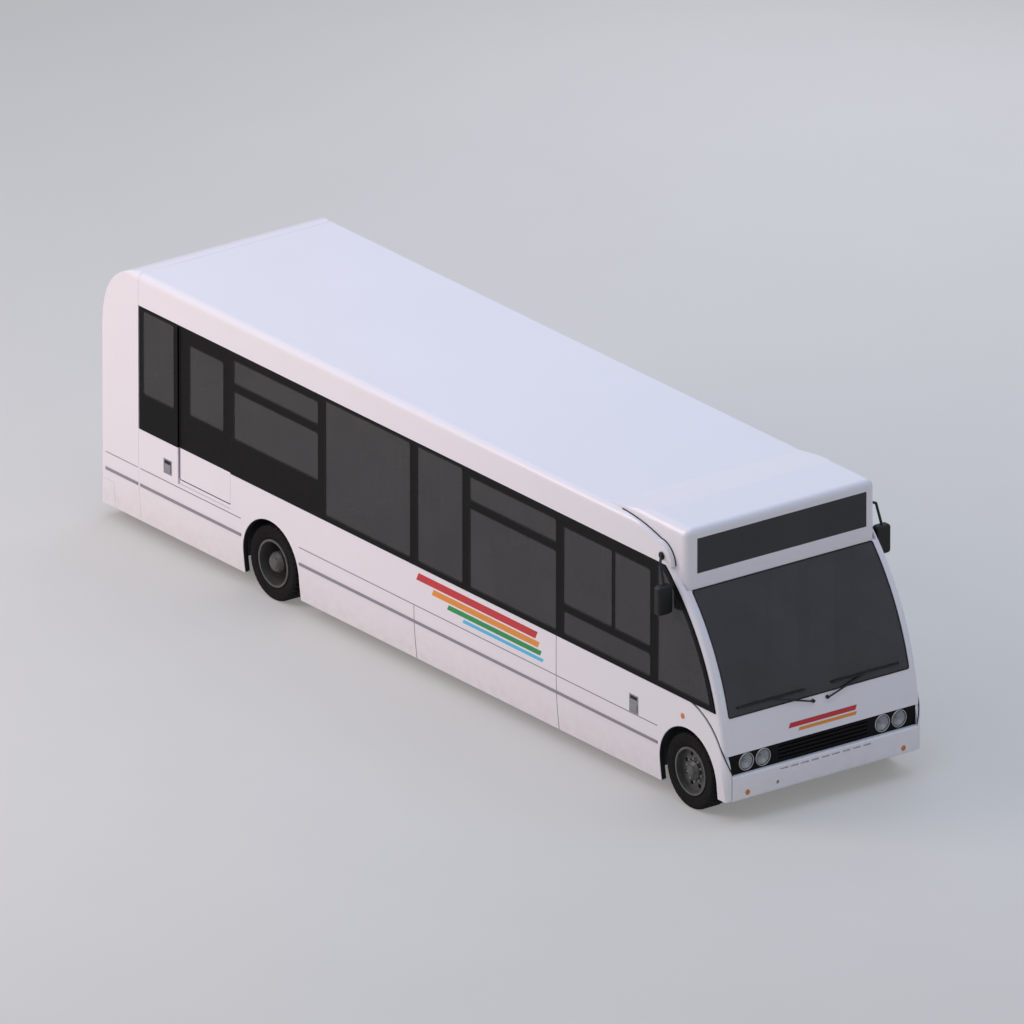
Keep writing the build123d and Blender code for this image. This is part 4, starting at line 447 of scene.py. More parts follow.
def cut_film(name, code):
    """Vinyl film cut and pressed on the paint: an even, lightly glossy colour with slight fading."""
    material, tree, place = begun(name, Roughness=0.35, Coat_Weight=0.2)
    fading = add(tree, NOISE, {"Vector": place, "Scale": features(200), "Detail": 4.0})
    faded, fresh = shade(code, 0.88), shade(code, 1.06)
    return ended(material, Base_Color=add(tree, MIX, {0: fading, 6: faded, 7: fresh}, **COLOURS))


def finishes():
    """The materials by the record's slots, with those of the added pieces; one that exists is used again."""
    colours = bpy.context.scene.midibus_colours
    # Slot: name, function that makes it, and the values that it takes after the name
    makers = {
        "body_white": ("white_enamel_sprayed", enamel, colours.body),
        "band_black": ("black_paint_sprayed", gloss_black, colours.band),
        "moulded_black": ("black_plastic_moulded", moulded_plastic, linear("141414")),
        "tinted_glass": ("tinted_glass_toughened", tinted_glass, colours.glass, 0.72),
        "windscreen_glass": ("screen_glass_laminated", tinted_glass, colours.screen, 0.78),
        "dark_glass": ("sign_glass_dark", tinted_glass, colours.sign, 0.94),
        "mirror_silver": ("mirror_glass_silvered", silvering),
        "clear_lens": ("clear_lens_pressed", fluted_lens, linear("888C90"), 0.4),
        "amber_lens": ("amber_lens_pressed", fluted_lens, linear("D9731A"), 0.95),
        "red_lens": ("red_lens_pressed", fluted_lens, linear("B3141A"), 0.95),
        "trim_grey": ("grey_trim_extruded", sprayed_metal, linear("8C8A90"), 0.5, 0.12),
        "floor_grey": ("floor_vinyl_rolled", safety_vinyl),
        "seat_fabric": ("seat_cloth_woven", moquette, colours.cloth, colours.cloth_fleck),
        "pole_yellow": ("pole_steel_powder_coated", sprayed_metal, colours.poles, 0.35, 0.15),
        "chassis_black": ("chassis_steel_painted", sprayed_metal, linear("191919"), 0.6, 0.5),
        "engine_iron": ("engine_iron_cast", cast_iron),
        "bellows_rubber": ("bellows_rubber_moulded", soft_rubber, linear("161616")),
        "arm_steel": ("arm_steel_blackened", bright_metal, linear("3A3B3D"), 0.45, 10),
        "nut_steel": ("nut_steel_plated", bright_metal, linear("A9ABAD"), 0.35, 10),
        "wheel_grey": ("wheel_steel_sprayed", sprayed_metal, colours.wheel, 0.42, 0.45),
        "tyre_black": ("tyre_rubber_cured", tyre_rubber),
        "seal_black": ("seal_rubber_extruded", soft_rubber, linear("0F0F0F")),
        "chrome": ("lamp_steel_plated", bright_metal, linear("B6B8BA"), 0.14, 20),
        "stripe_red": ("red_film_cut", cut_film, colours.stripe_red),
        "stripe_orange": ("orange_film_cut", cut_film, colours.stripe_orange),
        "stripe_green": ("green_film_cut", cut_film, colours.stripe_green),
        "stripe_blue": ("blue_film_cut", cut_film, colours.stripe_blue),
    }
    made = {}
    for slot, (name, maker, *values) in makers.items():
        given = [tuple(value) if hasattr(value, "__len__") else value for value in values]
        made[slot] = bpy.data.materials.get(name) or maker(name, *given)
    return made


# Pieces


class MIDIBUS_OT_paint(bpy.types.Operator):
    """Gives every CAD node the finish of its slot"""
    bl_idname = "midibus.paint"
    bl_label = "Paint CAD nodes"

    def execute(self, context):
        made = finishes()
        for node in bpy.context.scene.objects:
            if "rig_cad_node" not in node:
                continue
            for index, held in enumerate(node.data.materials):
                slot = held.name.split(".")[0]
                # The windscreen shares its slot with the windows and has a tint of its own
                if node.name == "windscreen":
                    slot = "windscreen_glass"
                node.data.materials[index] = made[slot]
        return {"FINISHED"}


def islands(node):
    """Low and high corners of the separate solids of a CAD node: vertices at one place count as one, and
    each takes the lowest label among those that it is joined to until no label changes."""
    held = frame["nodes"][node]
    at = np.empty(3 * len(held.data.vertices), np.float32)
    held.data.vertices.foreach_get("co", at)
    world = np.array(held.matrix_world)
    at = at.reshape(-1, 3) @ world[:3, :3].T + world[:3, 3]
    edges = np.empty(2 * len(held.data.edges), np.int32)
    held.data.edges.foreach_get("vertices", edges)
    spots, same = np.unique(np.round(at, 5), axis=0, return_inverse=True)
    first, second = same.reshape(-1)[edges].reshape(-1, 2).T
    label, lower = None, np.arange(len(spots))
    while label is None or (lower != label).any():
        label, lower = lower, lower.copy()
        np.minimum.at(lower, first, label[second])
        np.minimum.at(lower, second, label[first])
        lower = lower[lower]
    return [(spots[label == one].min(axis=0), spots[label == one].max(axis=0)) for one in np.unique(label)]


def swell(place, height, middle, spread):
    """A smooth rise of a height about a place: a bell curve."""
    return height * np.exp(-((place - middle) / spread) ** 2)


def tyre(low, high, depth, groove):
    """A tyre in a box: wall and shoulder arcs carried round the axle, the radius lowered in four zigzag
    grooves and in the gaps between the shoulder lugs; also says where its tread is."""
    lugs, shoulder, wall_height, tread_height, zigzag_size = 44, 0.038, 0.1477, 0.02, 0.004
    wall_tuck, wall_bulge = 0.028, 0.006
    middle, half = (low + high) / 2, (high[1] - low[1]) / 2
    radius = (high[2] - low[2]) / 2
    # Down the wall from shoulder to bead: a rim guard stands out low on it, and a line is sunk higher up
    down = np.linspace(1, 0, 13)
    ridge = swell(down, 0.0012, 0.78, 0.06) + swell(down, -0.0016, 0.3, 0.08)
    wall = np.stack([half - wall_tuck * down ** 2 + wall_bulge * down + ridge,
                     radius - shoulder + (shoulder - wall_height) * down])
    turn = np.linspace(0, np.pi / 2, 8)[1:]
    bend = np.stack([half - shoulder + shoulder * np.cos(turn), radius - shoulder + shoulder * np.sin(turn)])
    # Across the crown: its edge, then mouth and floor of the outer and the inner groove
    edge = np.array([0.5, 0.32, -0.32, -0.5]) * groove
    crown = np.concatenate([[0.068], 0.052 + edge, 0.017 + edge])
    across = np.concatenate([wall[0], bend[0], crown])
    up = np.concatenate([wall[1], bend[1], np.full(len(crown), radius)])
    plain = np.zeros(len(across) - 2 * len(edge))
    cut = np.concatenate([plain, [0, 1, 1, 0], [0, 1, 1, 0]])
    sway = np.concatenate([plain, np.ones(2 * len(edge))])
    lug = np.clip((up - radius + 0.9 * shoulder) / (0.8 * shoulder), 0, 1) * (1 - sway)
    across, up, cut, sway, lug = (np.concatenate([part, sign * part[::-1]]) for part, sign in
                                  ((across, -1), (up, 1), (cut, 1), (sway, 1), (lug, 1)))
    # Round the tyre: a lug takes 0.7 of a step, and the gap after it has sloping sides
    step = np.tile([0.0, 0.7, 0.76, 0.94], lugs) + np.repeat(np.arange(lugs), 4)
    gap = np.tile([0.0, 0.0, 0.8, 0.8], lugs)[:, None]
    zigzag = zigzag_size * (4 * np.abs(step % 1 - 0.5) - 1)[:, None]
    angle = (step / lugs * TURN)[:, None]
    r = up - depth * np.maximum(cut, gap * lug)
    points = middle + np.stack([r * np.cos(angle), across + zigzag * sway, r * np.sin(angle)], axis=-1)
    return surface(points, wrap_rows=True, wrap_columns=True), np.tile(up > radius - tread_height, len(step))


class MIDIBUS_OT_tyres(bpy.types.Operator):
    """Puts treaded tyres in place of the plain ones"""
    bl_idname = "midibus.tyres"
    bl_label = "Tyres"

    def execute(self, context):
        sizes, rubber = context.scene.midibus_sizes, finishes()["tyre_black"]
        for node, body in WHEELS.items():
            made = [tyre(low, high, sizes.tread_depth, sizes.groove_width) for low, high in islands(node)]
            shape = together([shape for shape, _ in made])
            tread = np.concatenate([tread for _, tread in made])
            rubbers = piece("treaded_" + node, shape, rubber, body, attribute=("tread", tread))
            sharpen(rubbers, 40)
            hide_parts(node)
        return {"FINISHED"}


def revolved(profile, centre, axis, count):
    """A profile of radius and height carried round an axis, along X or Y, from one pole to the other; a third
    number from 0 to 1 draws its round into a hexagon."""
    profile = np.asarray(profile, float)
    angle = np.arange(count) / count * TURN
    hexagon = np.cos(np.pi / 6) / np.cos((angle + np.pi / 6) % (np.pi / 3) - np.pi / 6)
    flat = profile[:, 2:3] if profile.shape[1] > 2 else np.zeros((len(profile), 1))
    r = profile[:, :1] * (1 - flat + flat * hexagon)
    height = np.broadcast_to(profile[:, 1:2], r.shape)
    first, second = r * np.cos(angle), r * np.sin(angle)
    points = np.stack([height, first, second] if axis == "X" else [first, height, second], axis=-1)
    return surface(points + np.asarray(centre), wrap_columns=True, caps=True)


class MIDIBUS_OT_wheel_nuts(bpy.types.Operator):
    """Adds the nuts and the hub caps of the wheels"""
    bl_idname = "midibus.wheel_nuts"
    bl_label = "Wheel nuts"

    def execute(self, context):
        made, size = finishes(), context.scene.midibus_sizes.nut_size / 2
        # Radius in nut sizes, height over the disc and how far the round is drawn into a hexagon
        washer = [(1.15, 0, 0), (1.15, 0.004, 0)]
        head = [(1, 0.004, 1), (1, 0.019, 1), (0.86, 0.023, 0.6), (0.5, 0.024, 0)]
        stud = [(0.44, 0.024, 0), (0.44, 0.032, 0), (0.3, 0.034, 0)]
        nut, bolt = np.array(washer + head + stud) * (size, 1, 1), np.array(head) * (0.55 * size, 0.3, 1)
        nut_count, first_nut, bolt_count, bolt_ring = 10, TURN / 16, 6, 0.92
        # Outer face of the hubs, and how far over it a hub cap's bolts sit
        hub, bolt_seat = 1.195, 0.004
        # Radius in cap radii and height of a hub cap
        cap = np.array([(1, 0), (1, 0.004), (0.84, 0.006), (0.78, 0.013), (0.6, 0.0165), (0.2, 0.018)])
        for node, body in WHEELS.items():
            low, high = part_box(node)
            side = 1 if low[1] > 0 else -1
            # Outer face of the disc, and radius of the ring of nuts and of the hub cap
            disc, ring_r, cap_r = (1.140, 0.120, 0.062) if "front" in node else (0.935, 0.1265, 0.074)
            axle = np.array([(low[0] + high[0]) / 2, 0, (low[2] + high[2]) / 2])
            spots = axle + np.insert(ring(ring_r, nut_count, first_nut), 1, side * disc, axis=1)
            nuts = [revolved(nut * (1, side, 1), spot, "Y", 24) for spot in spots]
            sharpen(piece("nuts_" + body, together(nuts), made["nut_steel"], body))
            spots = axle + np.insert(ring(cap_r * bolt_ring, bolt_count), 1, side * (hub + bolt_seat), axis=1)
            bolts = [revolved(bolt * (1, side, 1), spot, "Y", 24) for spot in spots]
            lid = revolved(cap * (cap_r, side), axle + (0, side * hub, 0), "Y", 40)
            sharpen(piece("hub_cap_" + body, together([lid, *bolts]), made["wheel_grey"], body))
        return {"FINISHED"}


def power(value, exponent):
    """A number's size raised to a power, with its sign kept."""
    return np.sign(value) * np.abs(value) ** exponent


def pad(place, u, turn):
    """A point of a pad for its place across, u from -1 to 1, and a turn round its section: a squared ellipse
    of length and thickness, thinned towards both ends so that its middle is crowned, its edges drawn in
    between the corners, and two channels sewn into its upper face."""
    origin, along, out, across, length, thick, width, crown = place
    # Shares of length, width and thickness that are drawn in, and the channels' depth, place and spread
    drawn_length, drawn_width, round_length, round_thick = 0.030, 0.035, 0.05, 0.35
    channel = (0.06, 0.45, 0.05)
    edge = np.abs(u) ** 6
    ends = 1 - drawn_length * (1 - u ** 2)
    l = length / 2 * power(np.cos(turn), 0.42) * ends * (1 - round_length * edge)
    t = thick / 2 * power(np.sin(turn), 0.72) * (1 - (crown / thick) * 2 * u ** 2) * (1 - round_thick * edge)
    y = u * width / 2 * (1 - drawn_width * (1 - (2 * l / length) ** 2))
    t = t - thick * swell(np.abs(2 * l / length), *channel) * (np.sin(turn) > 0)
    return origin + l[..., None] * along + t[..., None] * out + y[..., None] * across


def padding(place):
    """A pad with a cord of piping sewn round the edge of its upper face."""
    seam_u, seam_turn, cord = 0.94, 0.25, 0.0035
    u = np.sin(np.linspace(-1, 1, 17) * np.pi / 2)
    turn = np.arange(36) / 36 * TURN
    body = surface(pad(place, *np.meshgrid(u, turn, indexing="ij")), wrap_columns=True, caps=True)
    line = np.linspace(-seam_u, seam_u, 20)
    front, back = np.full(len(line), seam_turn), np.full(len(line), np.pi - seam_turn)
    bend = np.linspace(seam_turn, np.pi - seam_turn, 16)[1:-1]
    end = np.full(len(bend), seam_u)
    around = np.concatenate([line, end, line[::-1], -end])
    turns = np.concatenate([front, bend, back, bend[::-1]])
    piping = carried(pad(place, around, turns), ring(cord, 6), place[2], closed=True)
    return together([body, piping])


class MIDIBUS_OT_seats(bpy.types.Operator):
    """Puts padded cushions and backs on moulded shells in place of the plain seats"""
    bl_idname = "midibus.seats"
    bl_label = "Seats"

    def execute(self, context):
        made, crown = finishes(), context.scene.midibus_sizes.cushion_crown
        ahead, across, up = np.eye(3)
        # The back starts this far from the solid's rear, leans back by its rake, and rises to its top
        back_start, rake, back_rise = 0.07, 0.075, 0.07
        # Middle of the cushion from the back's foot, its length and thickness
        cushion_x, cushion_z, cushion_length, cushion_thick = 0.272, 0.0535, 0.45, 0.098
        # The back's shift up the lean and out of the shell, how much shorter it is, and its thickness
        back_shift, back_out, back_short, back_thick = 0.055, 0.049, 0.13, 0.068
        shell_out, shell_short, shell_start, shell_thick, shell_narrow = 0.0075, 0.02, 0.004, 0.010, 0.03
        shells = []
        for node in ("seat_cushions", "driver_seat"):
            for number, (low, high) in enumerate(islands(node)):
                width, rise = high[1] - low[1], high[2] - low[2]
                foot = np.array([low[0] + back_start, (low[1] + high[1]) / 2, low[2]])
                lean = np.array([-rake, 0, rise - back_rise])
                lean /= np.linalg.norm(lean)
                out, tall = np.cross(across, lean), rise / lean[2]
                places = {
                    "cushion": (foot + (cushion_x, 0, cushion_z), ahead, up, across,
                                cushion_length, cushion_thick, width - 0.004, crown),
                    "back": (foot + lean * (tall / 2 + back_shift) + out * back_out, lean, out, across,
                             tall - back_short, back_thick, width - 0.006, crown * 0.7)}
                for part, place in places.items():
                    name = f"{node}_{part}_{number + 1:02d}"
                    soft = piece(name, padding(place), made["seat_fabric"], "chassis")
                    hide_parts(node)
                rising = np.linspace(0, 1, 9)[:, None] * (tall - shell_short) + shell_start
                section = rounded_loop(shell_thick, width - shell_narrow, 0.0045, 4)
                shells.append(carried(foot + lean * rising + out * shell_out, section, across, caps=True))
        sharpen(piece("seat_shells", together(shells), made["moulded_black"], "chassis"))
        return {"FINISHED"}


def wall_x(wall, z):
    """Where an end wall is at a height: an arc about an axis across the bus, in front of it or behind it."""
    x, height, radius, facing = wall
    return x + facing * np.sqrt(radius ** 2 - (z - height) ** 2)


def wall_out(wall, z):
    """An end wall's outward direction at a height: away from its axis."""
    _, height, radius, facing = wall
    lean = (z - height) / radius
    return np.stack([facing * np.sqrt(1 - lean ** 2), np.zeros_like(z), lean], axis=-1)


def lip(width, height):
    """Section of a rubber seal: a low arch on a flat foot, as offsets to the side and up."""
    foot = -0.003
    turn = np.linspace(0, np.pi, 7)
    arch = np.stack([width / 2 * np.cos(turn), height * np.sin(turn) ** 0.7], axis=-1)
    return np.concatenate([arch, [(-width / 2, foot), (width / 2, foot)]])


def frame_path(low, high, radius):
    """A rounded rectangle in X and Z round the middle of a box, at the box's outer side."""
    middle = (low + high) / 2
    loop = rounded_loop(high[0] - low[0], high[2] - low[2], radius)
    outer = high[1] if middle[1] > 0 else low[1]
    return np.stack([middle[0] + loop[:, 0], np.full(len(loop), outer), middle[2] + loop[:, 1]], axis=-1)


def quarter_path(low, high, outer):
    """Round the quarter window: up along the front wall's arc, and straight down at its back."""
    behind_front = 0.1225
    up, down = np.linspace(low[2], high[2], 24), np.linspace(high[2], low[2], 6)
    x = np.concatenate([wall_x(FRONT_WALL, up) - behind_front, np.full(len(down), low[0])])
    return np.stack([x, np.full(len(x), outer), np.concatenate([up, down])], axis=-1)


def strip(start, end, width, thick, radius, up, turns=3):
    """A straight strip: a rounded rectangle carried from one place to another, its thickness along up."""
    return carried([start, end], rounded_loop(width, thick, radius, turns), up, caps=True)


class MIDIBUS_OT_seals(bpy.types.Operator):
    """Adds the rubber seals of the windows and the end panes, and the edges of the door's leaves"""
    bl_idname = "midibus.seals"
    bl_label = "Window seals"

    def execute(self, context):
        sizes, rubber = context.scene.midibus_sizes, finishes()["seal_black"]
        section, across = lip(sizes.seal_width, sizes.seal_height), (0, 1, 0)
        held = {"window_glass": "chassis", "exit_glass": "exit_door", "door_glass_rear": "door_leaf_rear",
                "door_glass_front": "door_leaf_front"}
        for node, body in held.items():
            seals = []
            for low, high in islands(node):
                if high[1] - low[1] > 1:
                    continue    # The rear pane lies across the bus and has its seal below
                side = np.sign(low[1] + high[1])
                path = frame_path(low, high, 0.03)
                if high[0] > QUARTER_X:
                    path = quarter_path(low, high, path[0, 1])
                seals.append(carried(path, section, (0, side, 0), closed=True))
            sharpen(piece("seals_" + node, together(seals), rubber, body))
        # A finger stands out of each upright edge of a leaf by its reach, 5 mm clear of what it meets, and a
        # flap behind the arms stands past its top and its bottom; both overlap the leaf
        reaches, finger_thick, finger_lap = {"post": 0.005, "middle": 0.0025}, 0.006, 0.002
        flap_reach, flap_thick, flap_lap, flap_off = 0.023, 0.004, 0.010, 0.0024
        for leaf, post_side in (("door_leaf_rear", -1), ("door_leaf_front", 1)):
            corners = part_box(leaf)
            (x0, y0, z0), (x1, y1, z1) = corners
            y, edges = (y0 + y1) / 2, []
            for side, (x, _, z) in zip((-1, 1), corners):
                reach = reaches["post" if side == post_side else "middle"]
                x += side * (reach - finger_lap) / 2
                ends = (x, y, z0), (x, y, z1)
                edges.append(strip(*ends, reach + finger_lap, finger_thick, 0.002, across, 4))
                y_flap, z_flap = y0 - flap_off, z + side * (flap_reach - flap_lap) / 2
                ends = (x0, y_flap, z_flap), (x1, y_flap, z_flap)
                edges.append(strip(*ends, flap_reach + flap_lap, flap_thick, 0.0015, across, 4))
            sharpen(piece("edges_" + leaf, together(edges), rubber, leaf))
        (_, y0, z0), (_, y1, z1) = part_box("windscreen")
        # Wall, width, bottom, top and corner radius of the two end panes
        panes = {"seal_windscreen": (FRONT_WALL, y1 - y0, z0, z1, 0.02),
                 "seal_rear_window": (REAR_WALL, 1.92, 1.5, 2.33, 0.03)}
        for name, (wall, width, bottom, top, radius) in panes.items():
            loop = rounded_loop(width, top - bottom, radius)
            runs = zip(loop, np.roll(loop, -1, axis=0))
            y, z = np.concatenate([np.linspace(a, b, 12, endpoint=False) for a, b in runs]).T
            z = z + (bottom + top) / 2
            path = np.stack([wall_x(wall, z), y, z], axis=-1)
            sharpen(piece(name, carried(path, section, wall_out(wall, z), closed=True), rubber, "chassis"))
        return {"FINISHED"}


def round_path(radius, count, centre):
    """A circle across the bus, facing along it, about a centre."""
    return np.insert(ring(radius, count), 0, 0, axis=1) + centre


class MIDIBUS_OT_lamps(bpy.types.Operator):
    """Adds the bowls, the bulb covers and the bezels of the lamps"""
    bl_idname = "midibus.lamps"
    bl_label = "Lamps"

    def execute(self, context):
        made, along = finishes(), (1, 0, 0)
        # The bowl is a parabola from its floor up to its rim, with an outer skin below it
        bowl_r, bowl_floor, bowl_depth, skin = 0.078, -0.036, 0.031, (0.001, -0.003)
        share = np.linspace(0.1, 1, 12)
        bowl = np.stack([bowl_r * share, bowl_floor + bowl_depth * share ** 2], axis=-1)
        shell = np.concatenate([bowl, (bowl + skin)[::-1]])
        cover = [(0.015, -0.036), (0.015, -0.022), (0.012, -0.018), (0.006, -0.016), (0.002, -0.0155)]
        face_depth = 0.008
        bowls, bezels, guards = [], [], []
        for low, high in islands("headlamps"):
            face = (low + high) / 2
            face[0] = high[0] - face_depth
            bowls += [revolved(shell, face, "X", 40), revolved(cover, face, "X", 24)]
            path = round_path((high[2] - low[2]) / 2 + 0.0055, 48, face)
            bezels.append(carried(path, ring(0.0052, 10), along, closed=True))
        for low, high in islands("tail_lamps"):
            face = (low + high) / 2
            face[0] = low[0]
            path = round_path((high[2] - low[2]) / 2 + 0.004, 40, face)
            guards.append(carried(path, ring(0.004, 8), along, closed=True))
        piece("headlamp_bowls", together(bowls), made["chrome"], "chassis")
        piece("headlamp_bezels", together(bezels), made["chrome"], "chassis")
        piece("tail_lamp_bezels", together(guards), made["seal_black"], "chassis")
        return {"FINISHED"}


def side_y(z):
    """How far out the body's side is at a height: it tucks in below the upper rub rail, as a parabola."""
    return SIDE_Y - SKIRT_TUCK * np.clip((RAIL_Z - z) / (RAIL_Z - SKIRT_Z), 0, 1) ** 2


def arc(points, count):
    """Places along the circle through three points of a plane: its middle is equally far from all three."""
    a, b, c = (np.array(point) for point in points)
    middle = np.linalg.solve(2 * np.stack([b - a, c - a]), [b @ b - a @ a, c @ c - a @ a])
    first, last = (np.arctan2(*(end - middle)[::-1]) for end in (a, c))
    turn = np.linspace(first, last, count)
    return middle + np.linalg.norm(a - middle) * np.stack([np.cos(turn), np.sin(turn)], axis=-1)


def joint_beads(side):
    """Sealant of one side: flat beads up the skirt's panel joints, and round ones in the wing's groove, which
    follows the rounded front corner, and in the dome's joint."""
    out = (0, side, 0)
    flat, bottom, groove_depth, dome_y = rounded_loop(0.007, 0.0016, 0.0007, 3), 0.152, 0.017, 1.194
    corner_x, corner_r = 5.18, 0.12
    beads = []
    for x, top in ((0.08, RAIL_Z), (2.47, 1.172)):
        z = np.linspace(bottom, top, 24)
        path = np.stack([np.full_like(z, x), side * side_y(z), z], axis=-1)
        beads.append(carried(path, flat, out, caps=True))
    x, z = arc(WING_EDGE, 40).T
    corner = corner_r - np.sqrt(corner_r ** 2 - np.clip(x - corner_x, 0, None) ** 2)
    path = np.stack([x, side * (side_y(z) - corner - groove_depth), z], axis=-1)
    beads.append(carried(path, ring(0.0055, 10), out, caps=True))
    x, z = np.concatenate([arc(DOME_EDGE[:3], 24)[:-1], arc(DOME_EDGE[2:], 24)]).T
    path = np.stack([x, np.full_like(x, side * dome_y), z], axis=-1)
    return beads + [carried(path, ring(0.006, 10), out, caps=True)]


def arch_liner(axle_x, front_foot, side):
    """A thin strip carried up one leg of a wheel arch, over its half circle and down the other leg."""
    radius, axle_z, leg_top, foot, depth = 0.4715, 0.4, 0.39, 0.16, 0.031
    turn, leg = np.linspace(0, np.pi, 40), np.ones(8)
    x = axle_x + radius * np.concatenate([leg, np.cos(turn), -leg])
    z = np.concatenate([np.linspace(front_foot, leg_top, len(leg)), axle_z + radius * np.sin(turn),
                        np.linspace(leg_top, foot, len(leg))])
    path = np.stack([x, side * (side_y(z) - depth), z], axis=-1)
    return carried(path, rounded_loop(0.004, 0.054, 0.0015, 3), (0, side, 0), caps=True)


class MIDIBUS_OT_joints(bpy.types.Operator):
    """Adds panel joints, arch liners, rear rails, side handles with painted shade in their slots, and the
    emergency door's seal
    """
    bl_idname = "midibus.joints"
    bl_label = "Joints and liners"

    def execute(self, context):
        made, right = finishes(), (0, -1, 0)
        beads, liners, rails, slots, paddles = [], [], [], [], []
        rail_start, rail_end = -5.165, -4.612
        for side in (-1, 1):
            beads += joint_beads(side)
            for node, front_foot in (("wheel_front_left", 0.262), ("wheels_rear_left", 0.16)):
                low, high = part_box(node)
                liners.append(arch_liner((low[0] + high[0]) / 2, front_foot, side))
            for z, tall, thick in ((0.565, 0.030, 0.010), (RAIL_Z, 0.010, 0.004)):
                ends = [(x, side * SIDE_Y, z) for x in (rail_start, rail_end)]
                rails.append(strip(*ends, tall, thick, 0.0012, (0, side, 0)))
        # A handle is the tall piece of the side's trim: a dark strip near its top is painted shade that
        # stands for the dark of its slot, and a paddle is under it
        handle_least, margin, slot_shade_down, paddle_up, sunk = 0.1, 0.018, 0.032, 0.062, 0.0005
        for low, high in islands("side_trim"):
            if high[2] - low[2] > handle_least:
                slot, paddle = ([(x, low[1] - sunk, z) for x in (low[0] + margin, high[0] - margin)]
                                for z in (high[2] - slot_shade_down, low[2] + paddle_up))
                # Painted shade: a strip of black plastic stands where the slot's recess is dark
                slots.append(strip(*slot, 0.034, 0.003, 0.001, right))
                paddles.append(strip(*paddle, 0.082, 0.012, 0.004, right, 4))
        # The emergency door's seal runs between the foot of its panel and the head of its window frame
        outer_y, side_in, front_in, foot_in, head_in = -1.23, 0.008, 0.010, 0.060, 0.020
        (x0, _, z0), (x1, y1, _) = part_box("exit_panel")
        z1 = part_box("exit_frame")[1][2]
        low = np.array((x0 + side_in, outer_y, z0 + foot_in))
        high = np.array((x1 - front_in, y1, z1 - head_in))
        door = carried(frame_path(low, high, 0.02), lip(0.010, 0.003), right, closed=True)
        for name, shape, slot, body in (
                ("rear_rails", together(rails), "trim_grey", "chassis"),
                ("panel_joints", together(beads), "seal_black", "chassis"),
                ("arch_liners", together(liners), "moulded_black", "chassis"),
                ("handle_slot_shades", together(slots), "moulded_black", "chassis"),
                ("handle_paddles", together(paddles), "trim_grey", "chassis"),
                ("seal_exit_door", door, "seal_black", "exit_door")):
            sharpen(piece(name, shape, made[slot], body))
        return {"FINISHED"}


def film(start, end, low, high, place):
    """A thin strip of film between two places along and two heights, its ends slanted, on a surface that
    place gives for a distance along, a height and a distance off it."""
    slant, proud, sunk = 0.5, 0.0009, -0.0004
    along, v = np.meshgrid(np.linspace(start, end, 12), np.linspace(0, 1, 6), indexing="ij")
    z = low + (high - low) * v
    along = along + slant * (z - low)
    outer, inner = place(along, z, proud), place(along, z, sunk)
    return surface(np.concatenate([outer, inner[:, ::-1]], axis=1), wrap_columns=True, caps=True)


def on_side(along, z, off):
    """A place on the right side of the body: flat, its distance along being X."""
    return np.stack([along, np.full_like(along, -SIDE_Y - off), z], axis=-1)


def on_front(along, z, off):
    """A place on the front wall's arc, its distance along being Y."""
    return np.stack([wall_x(FRONT_WALL, z) + off, along, z], axis=-1)


class MIDIBUS_OT_stripes(bpy.types.Operator):
    """Adds plain slanted stripes to the right side and the front"""
    bl_idname = "midibus.stripes"
    bl_label = "Stripes"

    def execute(self, context):
        made, tall = finishes(), context.scene.midibus_sizes.stripe_height
        # Colour, where it is, start and end along, lower edge, and height in stripe heights
        stripes = (
            ("stripe_red", "side", 0.12, 2.12, 1.03, 1.5), ("stripe_orange", "side", 0.38, 2.16, 0.945, 1.2),
            ("stripe_green", "side", 0.64, 2.20, 0.87, 1.0), ("stripe_blue", "side", 0.90, 2.24, 0.81, 0.7),
            ("stripe_red", "front", -0.42, 0.42, 0.86, 0.9),
            ("stripe_orange", "front", -0.30, 0.42, 0.81, 0.6))
        for slot, where, start, end, z, share in stripes:
            shape = film(start, end, z, z + share * tall, on_side if where == "side" else on_front)
            sharpen(piece(f"{slot}_{where}", shape, made[slot], "chassis"))
        return {"FINISHED"}


def seen_rays(tree):
    """1 for rays from the camera, also by way of gloss and glass, and 0 for light that falls on the bus."""
    camera, gloss, glass = (add(tree, "ShaderNodeLightPath", output=f"Is {kind} Ray")
                            for kind in ("Camera", "Glossy", "Transmission"))
    near = add(tree, MATH, {0: camera, 1: gloss}, operation="MAXIMUM")
    return add(tree, MATH, {0: near, 1: glass}, operation="MAXIMUM")


def studio_floor():
    """A pale painted studio floor: dull and very slightly clouded, part of what is seen of it being an even
    pale glow, so that it keeps the shadow and runs out evenly."""
    glow_share, glow = 0.38, 0.3
    material, tree, place = begun(
        "studio_floor_painted", Roughness=0.9, Specular_IOR_Level=0.1, Emission_Color=linear("D8D8D8"))
    cloud = add(tree, NOISE, {"Vector": place, "Scale": features(1500), "Detail": 4.0})
    paint = add(tree, MIX, {0: cloud, 6: linear("DAD6CF"), 7: linear("E0DCD5")}, **COLOURS)
    seen = seen_rays(tree)
    dim = add(tree, MATH, {0: seen, 1: glow_share}, operation="MULTIPLY")
    return ended(
        material, Base_Color=add(tree, MIX, {0: dim, 6: paint, 7: linear("000000")}, **COLOURS),
        Emission_Strength=add(tree, MATH, {0: seen, 1: glow}, operation="MULTIPLY"))


